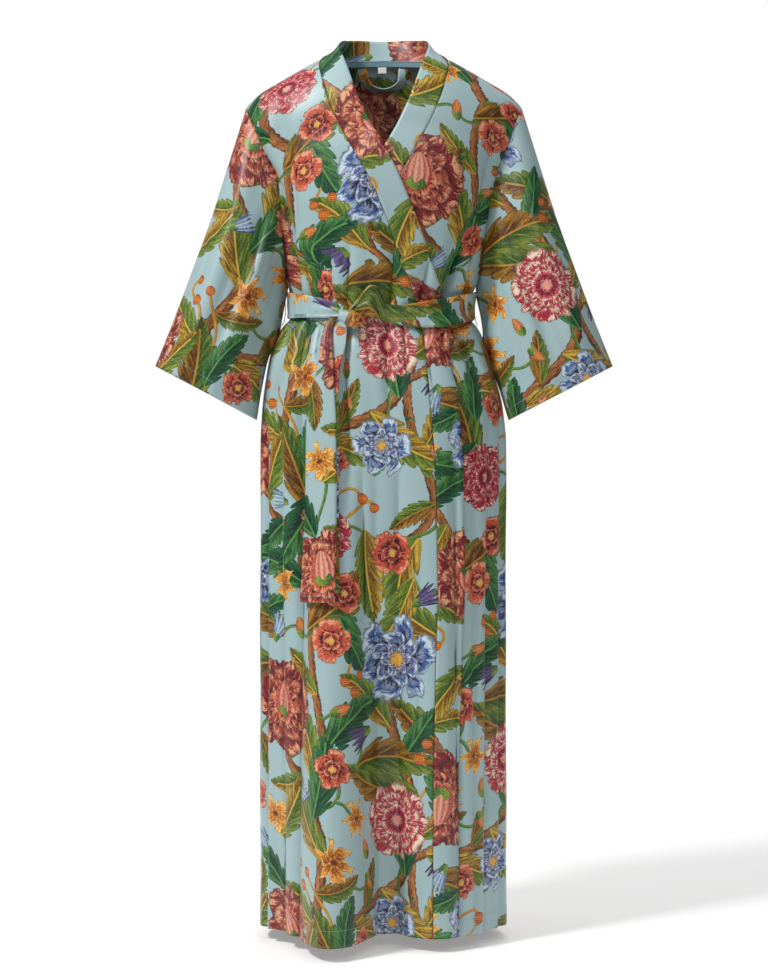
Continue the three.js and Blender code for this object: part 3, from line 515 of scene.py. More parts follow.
@dataclass
class Wall:
    """A closed wall of cloth on a surface patch, with its flat cloth coordinates.

    Attributes:
        surface: points of the patch at (u, v), in millimetres.
        us: columns of the grid.
        vs: rows of the grid.
        low: height of the inner face over the surface.
        thick: thickness of the wall.
        turned: 1 or -1, to make the normal point outwards.
        round: whether the last column joins the first.
        step: small steps in u and v by which normals are measured.
        middle: the column from which flat widths are measured.
        axis: the direction down the cloth, for a wall whose rows slant.
        strip: whether the middle column is straight in the cut, as on a band.
    """

    surface: Surface
    us: Array
    vs: Array
    low: Height
    thick: float = CLOTH
    turned: int = 1
    round: bool = False
    step: tuple[float, float] = (0.01, 0.5)
    middle: float = 0.0
    axis: tuple[float, float, float] | None = None
    strip: bool = False
    flat_area: float = 0.0
    flat_size: tuple[float, float] = (0.0, 0.0)

    def grid(self) -> tuple[Array, Array]:
        """The grid's u and v, a row for each v."""
        return np.meshgrid(self.us, self.vs)

    def normals(self, u: Array, v: Array) -> Array:
        """Outward unit normals of the patch."""
        du, dv = self.step
        across = self.surface(u + du, v) - self.surface(u - du, v)
        along = self.surface(u, v + dv) - self.surface(u, v - dv)
        normal = np.cross(across, along) * self.turned
        return normal / np.maximum(np.linalg.norm(normal, axis=-1, keepdims=True), 1e-12)

    def face(self, height: float) -> Array:
        """Points of the face at a height over the wall's inner face."""
        u, v = self.grid()
        lift = (self.low(u, v) + height)[..., None]
        return self.surface(u, v) + self.normals(u, v) * lift

    def flat(self, points: Array) -> Array:
        """Flat cloth coordinates of a face, in metres: width from the middle column, and length.

        A row lies across the cloth, unless the wall has an axis, which the length then follows.
        """
        column = int(np.argmin(np.abs(self.us - self.middle)))
        across = np.diff(points, axis=1)
        along = np.diff(points[:, column], axis=0)
        weft = points[:, min(column + 1, len(self.us) - 1)] - points[:, max(column - 1, 0)]
        if self.axis is None:
            width = np.linalg.norm(across, axis=-1)
            weft = weft[:-1] + weft[1:]
        else:
            axis = np.array(self.axis) / np.linalg.norm(self.axis)
            width = np.linalg.norm(across - (across @ axis)[..., None] * axis, axis=-1)
            weft = weft[:-1] + weft[1:]
            weft = weft - (weft @ axis)[..., None] * axis
        weft = weft / np.linalg.norm(weft, axis=-1, keepdims=True)
        sideways = np.sum(along * weft, axis=-1) * (not self.strip)
        straight = np.linalg.norm(along - sideways[:, None] * weft, axis=-1)
        s = np.concatenate([np.zeros((len(self.vs), 1)), np.cumsum(width, axis=1)], axis=1)
        start = np.concatenate([[0.0], np.cumsum(sideways)])
        s = s - s[:, column:column + 1] + start[:, None]
        if self.axis is None:
            t = np.repeat(-np.concatenate([[0.0], np.cumsum(straight)])[:, None], len(self.us), axis=1)
            fall = along
        else:
            t = -(points - points[0, column]) @ axis
            fall = axis[None]
        outward = self.normals(*(g[:, column] for g in self.grid()))[:-1]
        if np.sum(np.cross(-fall, outward) * weft) < 0:
            s = -s
        sides = np.stack([s, t], axis=-1)
        first, second = sides[1:, 1:] - sides[:-1, :-1], sides[1:, :-1] - sides[:-1, 1:]
        area = np.abs(first[..., 0] * second[..., 1] - first[..., 1] * second[..., 0]) / 2
        self.flat_size = (float(np.ptp(s)) * MM, float(np.ptp(t)) * MM)
        self.flat_area = float(np.sum(area)) * MM * MM
        return sides * MM

    def build(self, name: str, shift: tuple[float, float], turn: float = 0.0) -> bpy.types.Object:
        """Makes the mesh object and stores the print's coordinates on it.

        Args:
            name: the object's name.
            shift: where this piece was cut from the printed cloth, in metres.
            turn: how the piece lay on the printed cloth, in degrees.

        Returns:
            The object, at the origin.
        """
        rows, columns = len(self.vs), len(self.us)
        outer = self.face(self.thick)
        flat = self.flat(outer)
        points = np.concatenate([self.face(0.0).reshape(-1, 3), outer.reshape(-1, 3)]) * MM
        index = np.arange(rows * columns).reshape(rows, columns)
        flats = np.tile(flat.reshape(-1, 2), (2, 1))
        a, b = index[:-1, :-1], index[1:, :-1]
        c, d = index[1:, 1:], index[:-1, 1:]
        inner = np.stack([a, b, c, d], axis=-1).reshape(-1, 4)
        top = np.stack([a, d, c, b], axis=-1).reshape(-1, 4) + rows * columns
        edges = [(index[0], False), (index[-1], True)]
        if not self.round:
            edges += [(index[:, 0], True), (index[:, -1], False)]
        rims = []
        for edge, swap in edges:
            p, q = edge[:-1], edge[1:]
            quad = np.stack([p, q, q + rows * columns, p + rows * columns], axis=-1)
            rims.append(quad[:, ::-1] if swap else quad)
        faces = np.concatenate([inner, top, *rims])
        corners = flats[faces.reshape(-1)].reshape(-1, 4, 2)
        if self.round:
            seam = columns - 1
            merged = np.where(np.arange(rows * columns) % columns == seam,
                              np.arange(rows * columns) - seam, np.arange(rows * columns))
            merged = np.concatenate([merged, merged + rows * columns])
            faces = merged[faces]
        return make_piece(name, points, faces, corners, shift, turn)


def make_piece(name: str, points: Array, faces: Array, corners: Array,
               shift: tuple[float, float], turn: float = 0.0) -> bpy.types.Object:
    """Makes a mesh of cloth and dresses it with the print.

    Args:
        name: the object's name.
        points: vertices, in metres.
        faces: quads of vertex numbers.
        corners: flat cloth coordinates of each face's corners, in metres.
        shift: where the piece was cut from the printed cloth, in metres.
        turn: how the piece lay on the printed cloth, in degrees.

    Returns:
        The object, with outward faces and smooth shading.
    """
    used, compact = np.unique(faces, return_inverse=True)
    faces = compact.reshape(faces.shape)
    points = points[used]
    a, b, c, d = (points[faces[:, i]] for i in range(4))
    volume = np.sum(a * np.cross(b, c)) + np.sum(a * np.cross(c, d))
    if volume < 0:
        faces, corners = faces[:, ::-1], corners[:, ::-1]
    mesh = bpy.data.meshes.new(name)
    mesh.vertices.add(len(points))
    mesh.vertices.foreach_set("co", points.astype(np.float32).ravel())
    mesh.loops.add(faces.size)
    mesh.loops.foreach_set("vertex_index", faces.astype(np.int32).ravel())
    mesh.polygons.add(len(faces))
    mesh.polygons.foreach_set("loop_start", np.arange(0, faces.size, 4, dtype=np.int32))
    mesh.update(calc_edges=True)
    mesh.validate()
    mesh.shade_smooth()
    cosine, sine = math.cos(math.radians(turn)), math.sin(math.radians(turn))
    s = corners[..., 0] * cosine - corners[..., 1] * sine + shift[0]
    t = corners[..., 0] * sine + corners[..., 1] * cosine + shift[1]
    PRINT.dress(mesh, np.stack([s, t], axis=-1))
    piece = bpy.data.objects.new(name, mesh)
    bpy.context.scene.collection.objects.link(piece)
    return piece


def tube_faces(index: Array) -> Array:
    """Quads of a closed tube.

    Args:
        index: vertex numbers, a row for each ring, with an even number in each.

    Returns:
        The tube's sides and the caps of its two ends.
    """
    after = np.roll(index, -1, axis=1)
    sides = np.stack([index[:-1], index[1:], after[1:], after[:-1]], axis=-1).reshape(-1, 4)
    size = index.shape[1]
    i = np.arange(size // 2 - 1)
    caps = [np.stack([row[i], row[i + 1], row[size - 2 - i], row[size - 1 - i]], axis=-1)
            for row in (index[0], index[-1][::-1])]
    return np.concatenate([sides, *caps])


# ---- The print -----------------------------------------------------------------------------
class Bloom(IntEnum):
    """Kinds of flower in the print."""

    ROSE = 1
    RUFFLE = 2
    FLAG = 3
    STAR = 4
    FACE = 5


class Pod(IntEnum):
    """Kinds of bud, bell and fruit in the print."""

    HEART = 1
    BELL = 2
    BUD = 3
    BERRY = 4
    TULIP = 5


class Leaf(IntEnum):
    """Kinds of leaf in the print."""

    GILT = 1
    GREEN = 2
    RUSSET = 3


class Stem(IntEnum):
    """Kinds of stem in the print."""

    BRANCH = 1
    TWIG = 2
    TENDRIL = 3


@dataclass(frozen=True)
class Spot:
    """A flower or leaf of the print: its kind, place, size, turn in degrees and tone from 0 to 1."""

    kind: int
    x: float
    y: float
    size: float
    turn: float = 0.0
    tone: float = 0.5


@dataclass(frozen=True)
class Line:
    """A stem of the print: its kind, half width, four control points and how many leaves it bears."""

    kind: int
    half: float
    points: tuple[tuple[float, float], ...]
    leaves: int = 0

    def at(self, share: Array) -> Array:
        """Points of the stem's middle line."""
        p, share = np.array(self.points, dtype=float), np.asarray(share, dtype=float)[:, None]
        rest = 1 - share
        return (p[0] * rest ** 3 + 3 * p[1] * share * rest ** 2
                + 3 * p[2] * share ** 2 * rest + p[3] * share ** 3)


@dataclass
class Repeat:
    """The print's repeat, in millimetres, and its motifs, which are stored on a piece's corners.

    A column of repeats is shifted by half the repeat's height against the one before it. Each
    layer puts the coordinates of the nearest motif on every face, so the motifs of one layer
    stand apart, and the finish draws them.
    """

    width: float = 440.0
    height: float = 620.0
    blooms: tuple[Spot, ...] = (
        Spot(Bloom.ROSE, 112, 486, 66, 12, 0.35),
        Spot(Bloom.RUFFLE, 318, 338, 50, 40, 0.75),
        Spot(Bloom.FLAG, 322, 548, 60, -18, 0.45),
        Spot(Bloom.ROSE, 74, 196, 60, 190, 0.7),
        Spot(Bloom.RUFFLE, 214, 92, 45, 100, 0.2),
        Spot(Bloom.FACE, 402, 196, 31, 15, 0.4),
        Spot(Bloom.STAR, 196, 296, 31, 5, 0.3),
        Spot(Bloom.FACE, 222, 574, 29, 40, 0.7),
        Spot(Bloom.STAR, 410, 436, 30, 30, 0.6),
        Spot(Bloom.FLAG, 308, 204, 40, 150, 0.8),
        Spot(Bloom.STAR, 62, 342, 27, 70, 0.8),
        Spot(Bloom.FACE, 318, 66, 30, 80, 0.2),
        Spot(Bloom.STAR, 134, 26, 25, 10, 0.4),
        Spot(Bloom.FACE, 208, 412, 27, 200, 0.5),
        Spot(Bloom.STAR, 404, 22, 26, 120, 0.7),
        Spot(Bloom.FLAG, 56, 30, 44, 60, 0.3),
        Spot(Bloom.RUFFLE, 414, 576, 36, 20, 0.9),
        Spot(Bloom.FACE, 244, 14, 27, 150, 0.3),
        Spot(Bloom.STAR, 238, 348, 26, 90, 0.5),
        Spot(Bloom.FACE, 240, 184, 26, 30, 0.6),
        Spot(Bloom.STAR, 12, 476, 26, 10, 0.4),
        Spot(Bloom.STAR, 408, 116, 24, 50, 0.6),
        Spot(Bloom.FACE, 22, 366, 22, 70, 0.5),
    )
    sprigs: tuple[Spot, ...] = (
        Spot(Pod.HEART, 112, 494, 25, 84, 0.4),
        Spot(Pod.HEART, 72, 204, 23, 100, 0.6),
        Spot(Pod.BELL, 258, 452, 22, 200, 0.5),
        Spot(Pod.BELL, 18, 420, 20, 150, 0.3),
        Spot(Pod.TULIP, 146, 376, 19, 40, 0.5),
        Spot(Pod.BUD, 262, 264, 13, 300, 0.4),
        Spot(Pod.BELL, 384, 284, 20, 250, 0.8),
        Spot(Pod.BERRY, 132, 262, 8, 0, 0.5),
        Spot(Pod.BERRY, 146, 280, 7, 0, 0.3),
        Spot(Pod.BERRY, 122, 288, 7, 0, 0.7),
        Spot(Pod.BUD, 22, 108, 14, 80, 0.4),
        Spot(Pod.TULIP, 144, 134, 18, 170, 0.2),
        Spot(Pod.BERRY, 250, 508, 8, 0, 0.5),
        Spot(Pod.BERRY, 236, 522, 7, 0, 0.2),
        Spot(Pod.BERRY, 262, 530, 7, 0, 0.8),
        Spot(Pod.BUD, 418, 512, 14, 120, 0.6),
        Spot(Pod.BERRY, 280, 136, 8, 0, 0.5),
        Spot(Pod.BERRY, 296, 124, 7, 0, 0.4),
        Spot(Pod.BUD, 384, 112, 13, 250, 0.5),
        Spot(Pod.BELL, 40, 574, 19, 320, 0.5),
        Spot(Pod.BERRY, 356, 420, 8, 0, 0.5),
        Spot(Pod.BERRY, 366, 440, 7, 0, 0.2),
        Spot(Pod.TULIP, 22, 302, 17, 120, 0.7),
        Spot(Pod.BUD, 160, 588, 15, 100, 0.5),
        Spot(Pod.TULIP, 112, 586, 20, 60, 0.4),
        Spot(Pod.BELL, 14, 62, 20, 200, 0.6),
        Spot(Pod.TULIP, 436, 244, 19, 280, 0.3),
        Spot(Pod.BELL, 364, 8, 19, 30, 0.4),
        Spot(Pod.BUD, 226, 486, 15, 20, 0.5),
        Spot(Pod.BUD, 258, 306, 14, 100, 0.5),
    )
    branches: tuple[Line, ...] = (
        Line(Stem.BRANCH, 8.5, ((196, 0), (110, 70), (250, 120), (178, 190)), 4),
        Line(Stem.BRANCH, 8.0, ((178, 190), (130, 236), (220, 300), (160, 372)), 4),
        Line(Stem.BRANCH, 6.5, ((160, 372), (126, 410), (90, 420), (112, 486)), 3),
        Line(Stem.BRANCH, 7.5, ((178, 190), (240, 250), (300, 210), (344, 290)), 4),
        Line(Stem.BRANCH, 7.0, ((344, 290), (392, 372), (270, 440), (322, 548)), 5),
        Line(Stem.BRANCH, 6.5, ((160, 372), (240, 410), (170, 500), (196, 620)), 4),
        Line(Stem.BRANCH, 6.0, ((166, 100), (110, 96), (110, 150), (74, 196)), 3),
        Line(Stem.BRANCH, 5.5, ((344, 290), (400, 310), (440, 370), (410, 436)), 4),
        Line(Stem.BRANCH, 6.0, ((344, 290), (330, 170), (440, 130), (318, 66)), 4),
    )
    twigs: tuple[Line, ...] = (
        Line(Stem.TWIG, 2.6, ((178, 190), (214, 170), (180, 120), (214, 92)), 1),
        Line(Stem.TWIG, 2.4, ((344, 290), (300, 280), (330, 240), (308, 204))),
        Line(Stem.TWIG, 2.4, ((308, 204), (340, 170), (376, 226), (402, 196)), 1),
        Line(Stem.TWIG, 2.4, ((160, 372), (190, 350), (230, 370), (208, 412))),
        Line(Stem.TWIG, 2.4, ((208, 412), (240, 400), (262, 420), (258, 452)), 1),
        Line(Stem.TWIG, 2.2, ((74, 196), (30, 260), (96, 290), (62, 342)), 2),
        Line(Stem.TWIG, 2.2, ((112, 486), (60, 480), (40, 440), (18, 420)), 1),
        Line(Stem.TENDRIL, 2.2, ((178, 190), (150, 210), (160, 250), (132, 262))),
        Line(Stem.TENDRIL, 2.0, ((132, 262), (108, 262), (106, 286), (122, 288))),
        Line(Stem.TENDRIL, 2.0, ((178, 190), (196, 240), (160, 250), (146, 280))),
        Line(Stem.TENDRIL, 2.2, ((322, 548), (270, 560), (282, 500), (250, 508))),
        Line(Stem.TENDRIL, 2.0, ((322, 548), (280, 580), (250, 560), (236, 522))),
        Line(Stem.TWIG, 2.2, ((214, 92), (250, 116), (290, 90), (318, 66)), 1),
        Line(Stem.TENDRIL, 2.0, ((214, 92), (240, 150), (270, 160), (280, 136))),
        Line(Stem.TENDRIL, 2.0, ((214, 92), (270, 110), (290, 150), (296, 124))),
        Line(Stem.TWIG, 2.2, ((318, 66), (340, 96), (376, 80), (384, 112))),
        Line(Stem.TWIG, 2.2, ((74, 196), (30, 180), (10, 140), (22, 108)), 1),
        Line(Stem.TWIG, 2.2, ((410, 436), (430, 460), (400, 486), (418, 512)), 1),
        Line(Stem.TWIG, 2.2, ((112, 486), (110, 540), (80, 540), (40, 574)), 1),
        Line(Stem.TENDRIL, 2.0, ((318, 338), (350, 370), (330, 400), (356, 420))),
        Line(Stem.TENDRIL, 2.0, ((318, 338), (380, 380), (388, 420), (366, 440))),
        Line(Stem.TWIG, 2.0, ((196, 296), (210, 262), (240, 246), (262, 264))),
        Line(Stem.TWIG, 2.2, ((222, 574), (200, 600), (176, 560), (160, 588))),
        Line(Stem.TWIG, 2.2, ((402, 196), (430, 230), (380, 250), (384, 284))),
        Line(Stem.TWIG, 2.4, ((40, -46), (70, -30), (40, 0), (56, 30)), 2),
        Line(Stem.TWIG, 2.4, ((418, 512), (440, 530), (400, 550), (414, 576)), 2),
        Line(Stem.TWIG, 2.4, ((196, 0), (214, 20), (226, -4), (244, 14)), 1),
        Line(Stem.TWIG, 2.2, ((206, 370), (224, 372), (222, 350), (238, 348))),
        Line(Stem.TWIG, 2.2, ((190, 196), (214, 206), (222, 180), (240, 184)), 1),
        Line(Stem.TWIG, 2.2, ((43, 447), (30, 450), (30, 470), (12, 476))),
        Line(Stem.TWIG, 2.2, ((160, 588), (140, 600), (130, 570), (112, 586)), 1),
        Line(Stem.TWIG, 2.2, ((384, 112), (396, 100), (396, 124), (408, 116)), 1),
        Line(Stem.TWIG, 2.0, ((56, 30), (30, 30), (30, 60), (14, 62))),
        Line(Stem.TWIG, 2.0, ((408, 229), (420, 220), (430, 236), (436, 244))),
        Line(Stem.TWIG, 2.0, ((318, 66), (350, 50), (350, 20), (364, 8)), 1),
        Line(Stem.TWIG, 2.0, ((404, 22), (392, 10), (376, 24), (364, 8))),
        Line(Stem.TWIG, 2.0, ((197, 477), (208, 470), (214, 490), (226, 486))),
    )
    leaf_length: tuple[float, ...] = (60.0, 40.0, 68.0, 46.0, 54.0, 36.0, 62.0)  # half lengths, in turn
    leaf_lean: tuple[float, ...] = (52.0, -58.0, 38.0, -44.0)  # turns from the stem, in turn
    leaf_kinds: tuple[Leaf, ...] = (Leaf.GREEN, Leaf.GILT, Leaf.RUSSET, Leaf.GREEN, Leaf.GILT, Leaf.RUSSET,
                                    Leaf.GILT)  # in turn
    leaf_breadth: float = 0.5
    scale: float = 1.12
    reach: float = 1.2  # how far past its size a motif's coordinates are kept

    def leaves(self) -> tuple[list[Spot], list[Spot]]:
        """The leaves that the stems bear, shared between two layers."""
        layers: tuple[list[Spot], list[Spot]] = ([], [])
        count = 0
        for line in self.branches + self.twigs:
            for share in (np.arange(line.leaves) + 0.6) / max(1, line.leaves):
                place, ahead = line.at(np.array([share, min(1.0, share + 0.02)]))
                way = math.degrees(math.atan2(ahead[1] - place[1], ahead[0] - place[0]))
                size = self.leaf_length[count % len(self.leaf_length)]
                turn = way + self.leaf_lean[count % len(self.leaf_lean)]
                kind = self.leaf_kinds[count % len(self.leaf_kinds)]
                x = place[0] + 0.95 * size * math.cos(math.radians(turn))
                y = place[1] + 0.95 * size * math.sin(math.radians(turn))
                tone = 0.15 + 0.7 * ((count * 0.618) % 1.0)
                layers[count % 2].append(Spot(kind, x, y, size, turn, tone))
                count += 1
        return layers

    def wrapped(self, dx: Array, dy: Array) -> tuple[Array, Array]:
        """Moves offsets to the nearest repeat."""
        column = np.round(dx / self.width)
        dx = dx - column * self.width
        dy = dy - column * self.height / 2
        return dx, dy - np.round(dy / self.height) * self.height

    def place_spots(self, spots: Iterable[Spot], corners: Array, breadth: float = 1.0) -> Array:
        """Coordinates of the nearest spot for each corner, and its kind and tone.

        Args:
            spots: motifs of one layer.
            corners: flat coordinates of each face's corners, in millimetres.
            breadth: a motif's breadth as a share of its length.

        Returns:
            For each corner, x and y as shares of the motif's size, and kind plus tone.
        """
        centre = corners.mean(axis=1)
        best = np.full(len(corners), self.reach)
        placed = np.zeros((*corners.shape[:2], 3), dtype=np.float32)
        placed[..., :2] = 9.0
        for spot in spots:
            cx, cy = self.wrapped(centre[:, 0] - spot.x, centre[:, 1] - spot.y)
            c, s = math.cos(math.radians(spot.turn)), math.sin(math.radians(spot.turn))
            far = np.hypot(cx * c + cy * s, (cy * c - cx * s) / breadth) / spot.size
            near = np.flatnonzero(far < best)
            best[near] = far[near]
            inner = corners[near] - centre[near, None]
            x, y = cx[near, None] + inner[..., 0], cy[near, None] + inner[..., 1]
            placed[near, :, 0] = (x * c + y * s) / spot.size
            placed[near, :, 1] = (y * c - x * s) / spot.size
            placed[near, :, 2] = spot.kind + 0.9 * spot.tone
        return placed

    def place_lines(self, lines: Iterable[Line], corners: Array) -> Array:
        """Coordinates along and across the nearest stem for each corner, and its kind.

        Args:
            lines: stems of one layer.
            corners: flat coordinates of each face's corners, in millimetres.

        Returns:
            For each corner, the length along in centimetres, the distance across as a share of
            the stem's half width there, and the kind.
        """
        share = np.linspace(0, 1, 15)
        centre = corners.mean(axis=1)
        best = np.full(len(corners), 3.2)
        placed = np.zeros((*corners.shape[:2], 3), dtype=np.float32)
        placed[..., 1] = 9.0
        for line in lines:
            curve = line.at(share)
            middle = (curve.min(axis=0) + curve.max(axis=0)) / 2
            span = np.ptp(curve, axis=0) / 2 + 6 * line.half
            cx, cy = self.wrapped(centre[:, 0] - middle[0], centre[:, 1] - middle[1])
            close = np.flatnonzero((np.abs(cx) < span[0]) & (np.abs(cy) < span[1]))
            if not len(close):
                continue
            local = np.stack([cx[close], cy[close]], axis=-1) + middle
            _, far = self._along(curve, local)
            near = np.abs(far) / line.half < best[close]
            close, local = close[near], local[near]
            best[close] = np.abs(far[near]) / line.half
            spread = corners[close] - centre[close, None] + local[:, None]
            along, across = self._along(curve, spread.reshape(-1, 2))
            shape = spread.shape[:2]
            placed[close, :, 0] = along.reshape(shape) / 10
            placed[close, :, 1] = across.reshape(shape) / line.half
            placed[close, :, 2] = line.kind
        return placed

    @staticmethod
    def _along(curve: Array, points: Array) -> tuple[Array, Array]:
        """Length along a curve of its nearest point, and the signed distance to it."""
        start, step = curve[:-1], np.diff(curve, axis=0)
        length = np.linalg.norm(step, axis=1)
        away = points[:, None] - start
        share = np.clip(np.sum(away * step, axis=-1) / length ** 2, 0, 1)
        gap = away - share[..., None] * step
        far = np.linalg.norm(gap, axis=-1)
        i = np.argmin(far, axis=1)
        rows = np.arange(len(points))
        side = np.sign(step[i, 0] * away[rows, i, 1] - step[i, 1] * away[rows, i, 0])
        before = np.concatenate([[0.0], np.cumsum(length)])
        return before[i] + share[rows, i] * length[i], side * far[rows, i]

    def dress(self, mesh: bpy.types.Mesh, corners: Array) -> None:
        """Stores the cloth's flat coordinates and every layer's on a mesh.

        Args:
            mesh: a mesh of quads.
            corners: flat coordinates of each face's corners on the printed cloth, in metres.
        """
        flat = corners / (MM * self.scale)
        near, far = self.leaves()
        layers = {
            "flat": np.concatenate([corners, np.zeros((*corners.shape[:2], 1))], axis=-1),
            "branch": self.place_lines(self.branches, flat),
            "twig": self.place_lines(self.twigs, flat),
            "leaf": self.place_spots(near, flat, self.leaf_breadth),
            "foliage": self.place_spots(far, flat, self.leaf_breadth),
            "sprig": self.place_spots(self.sprigs, flat),
            "bloom": self.place_spots(self.blooms, flat),
        }
        for name, values in layers.items():
            attribute = mesh.attributes.new(name, "FLOAT_VECTOR", "CORNER")
            attribute.data.foreach_set("vector", values.astype(np.float32).ravel())


PRINT = Repeat()


# ---- Shader building -------------------------------------------------------------------------
Colour = tuple[float, float, float]


class Value:
    """A number socket of a material, on which Python's operators add Math nodes."""

    def __init__(self, maker: "Nodes", socket: bpy.types.NodeSocket) -> None:
        """Wraps a socket of the maker's tree."""
        self.maker = maker
        self.socket = socket

    def _math(self, operation: str, *others: "Value | float", clamp: bool = False) -> "Value":
        """Adds a Math node of this value and others."""
        node = self.maker.node("ShaderNodeMath", {"operation": operation, "use_clamp": clamp},
                               {0: self, **{i + 1: other for i, other in enumerate(others)}})
        return Value(self.maker, node.outputs[0])

    def __add__(self, other: "Value | float") -> "Value":
        """Sum."""
        return self._math("ADD", other)

    __radd__ = __add__

    def __mul__(self, other: "Value | float") -> "Value":
        """Product."""
        return self._math("MULTIPLY", other)

    __rmul__ = __mul__

    def __sub__(self, other: "Value | float") -> "Value":
        """Difference."""
        return self._math("SUBTRACT", other)

    def __rsub__(self, other: "Value | float") -> "Value":
        """Difference, with this value taken away."""
        return (self * -1.0) + other

    def __truediv__(self, other: "Value | float") -> "Value":
        """Quotient."""
        return self._math("DIVIDE", other)

    def __pow__(self, other: "Value | float") -> "Value":
        """Power."""
        return self._math("POWER", other)

    def __abs__(self) -> "Value":
        """Size without sign."""
        return self._math("ABSOLUTE")

    def below(self, other: "Value | float") -> "Value":
        """1 where this is less than another value, else 0."""
        return self._math("LESS_THAN", other)

    def above(self, other: "Value | float") -> "Value":
        """1 where this is more than another value, else 0."""
        return self._math("GREATER_THAN", other)

    def floor(self) -> "Value":
        """Whole part."""
        return self._math("FLOOR")

    def fraction(self) -> "Value":
        """Part after the point."""
        return self._math("FRACT")

    def sine(self) -> "Value":
        """Sine."""
        return self._math("SINE")

    def cosine(self) -> "Value":
        """Cosine."""
        return self._math("COSINE")

    def root(self) -> "Value":
        """Square root."""
        return self._math("SQRT")

    def angle(self, other: "Value") -> "Value":
        """Angle of the point whose height this is and whose width is the other."""
        return self._math("ARCTAN2", other)

    def most(self, other: "Value | float") -> "Value":
        """The larger of two values."""
        return self._math("MAXIMUM", other)

    def kept(self) -> "Value":
        """This value held between 0 and 1."""
        return self._math("ADD", 0.0, clamp=True)

    def rise(self, low: float, high: float) -> "Value":
        """An even rise from 0 at low to 1 at high, or a fall where low is above high."""
        span = ((self - low) / (high - low)).kept()
        return span * span * (3.0 - span * 2.0)


class Nodes:
    """Adds nodes to one material's tree."""

    def __init__(self, name: str) -> None:
        """Makes a material with an empty tree."""
        self.material = bpy.data.materials.new(name)
        self.material.use_nodes = True
        self.tree = self.material.node_tree
        self.tree.nodes.clear()

    def node(self, kind: str, settings: dict | None = None, values: dict | None = None) -> bpy.types.Node:
        """Adds a node.

        Args:
            kind: the node's type.
            settings: its own settings, which are set first.
            values: values or links of its sockets, by name or number.

        Returns:
            The node.
        """
        node = self.tree.nodes.new(kind)
        for key, value in (settings or {}).items():
            if key == "stops":
                self._set_stops(node.color_ramp, value)
            elif key == "ramp":
                node.color_ramp.interpolation = value
            else:
                setattr(node, key, value)
        for key, value in (values or {}).items():
            socket = node.inputs[key]
            if isinstance(value, Value):
                self.tree.links.new(value.socket, socket)
            elif isinstance(value, bpy.types.NodeSocket):
                self.tree.links.new(value, socket)
            else:
                socket.default_value = value
        return node

    @staticmethod
    def _set_stops(ramp: bpy.types.ColorRamp, stops: Sequence[tuple[float, Colour]]) -> None:
        """Gives a ramp its stops."""
        while len(ramp.elements) < len(stops):
            ramp.elements.new(1.0)
        for element, (place, colour) in zip(ramp.elements, stops):
            element.position = place
            element.color = (*colour, 1.0)

    def split(self, vector: bpy.types.NodeSocket) -> tuple[Value, Value, Value]:
        """The three numbers of a vector."""
        node = self.node("ShaderNodeSeparateXYZ", None, {0: vector})
        return tuple(Value(self, node.outputs[i]) for i in range(3))

    def join(self, x: Value | float, y: Value | float, z: Value | float) -> bpy.types.NodeSocket:
        """A vector of three numbers."""
        return self.node("ShaderNodeCombineXYZ", None, {0: x, 1: y, 2: z}).outputs[0]

    def attribute(self, name: str) -> bpy.types.NodeSocket:
        """The vector stored on the mesh under a name."""
        return self.node("ShaderNodeAttribute", {"attribute_name": name}).outputs["Vector"]

    def noise(self, vector: bpy.types.NodeSocket, scale: float, detail: float = 2.0) -> Value:
        """Noise from 0 to 1 over a vector."""
        node = self.node("ShaderNodeTexNoise", None, {"Vector": vector, "Scale": scale, "Detail": detail})
        return Value(self, node.outputs[0])

    def blend(self, a: "Colour | bpy.types.NodeSocket", b: "Colour | bpy.types.NodeSocket",
              factor: Value | float) -> bpy.types.NodeSocket:
        """Colour a where the factor is 0 and b where it is 1."""
        a, b = ((*c, 1.0) if isinstance(c, tuple) else c for c in (a, b))
        node = self.node("ShaderNodeMix", {"data_type": "RGBA"}, {0: factor, 6: a, 7: b})
        return node.outputs[2]

    def pick(self, kind: Value, colours: Sequence[Colour]) -> bpy.types.NodeSocket:
        """The colour of a whole number, from 1 up."""
        count = len(colours)
        stops = [(max(0.0, (i - 0.5) / (count + 1)), c) for i, c in enumerate(colours, start=1)]
        place = kind / float(count + 1)
        return self.node("ShaderNodeValToRGB", {"stops": stops, "ramp": "CONSTANT"}, {0: place}).outputs[0]


# ---- Finishes ---------------------------------------------------------------------------------
def hex_colour(code: str) -> Colour:
    """Scene-linear colour of a six-digit screen colour."""
    parts = (int(code[i:i + 2], 16) / 255 for i in (0, 2, 4))
    return tuple(v / 12.92 if v <= 0.04045 else ((v + 0.055) / 1.055) ** 2.4 for v in parts)


@dataclass(frozen=True)
class BloomLook:
    """How one kind of flower is drawn.

    Attributes:
        petals: petals in a ring.
        cut: depth of the notches between petals, as a share of the radius.
        blunt: 0.25 for pointed petals, and more for blunter ones.
        shrink: size of a ring of petals against the one outside it.
        band: how strongly pale bands cross the petals.
        back: colour of the outermost petals.
        petal: colour of the inner petals.
        rim: colour of the petals' pale ends.
        root: colour of their shaded roots and outlines.
        heart: colour of the middle.
    """

    petals: int
    cut: float
    blunt: float
    shrink: float
    band: float
    back: Colour
    petal: Colour
    rim: Colour
    root: Colour
    heart: Colour


@dataclass(frozen=True)
class PodLook:
    """How one kind of bud, bell or fruit is drawn.

    Attributes:
        breadth: half its breadth, as a share of half its length.
        flare: 0 for a closed bud and 1 for an open bell.
        cup: share of its length that the green cup covers.
        dark: colour of its stripes and outline.
        light: its main colour.
    """

    breadth: float
    flare: float
    cup: float
    dark: Colour
    light: Colour


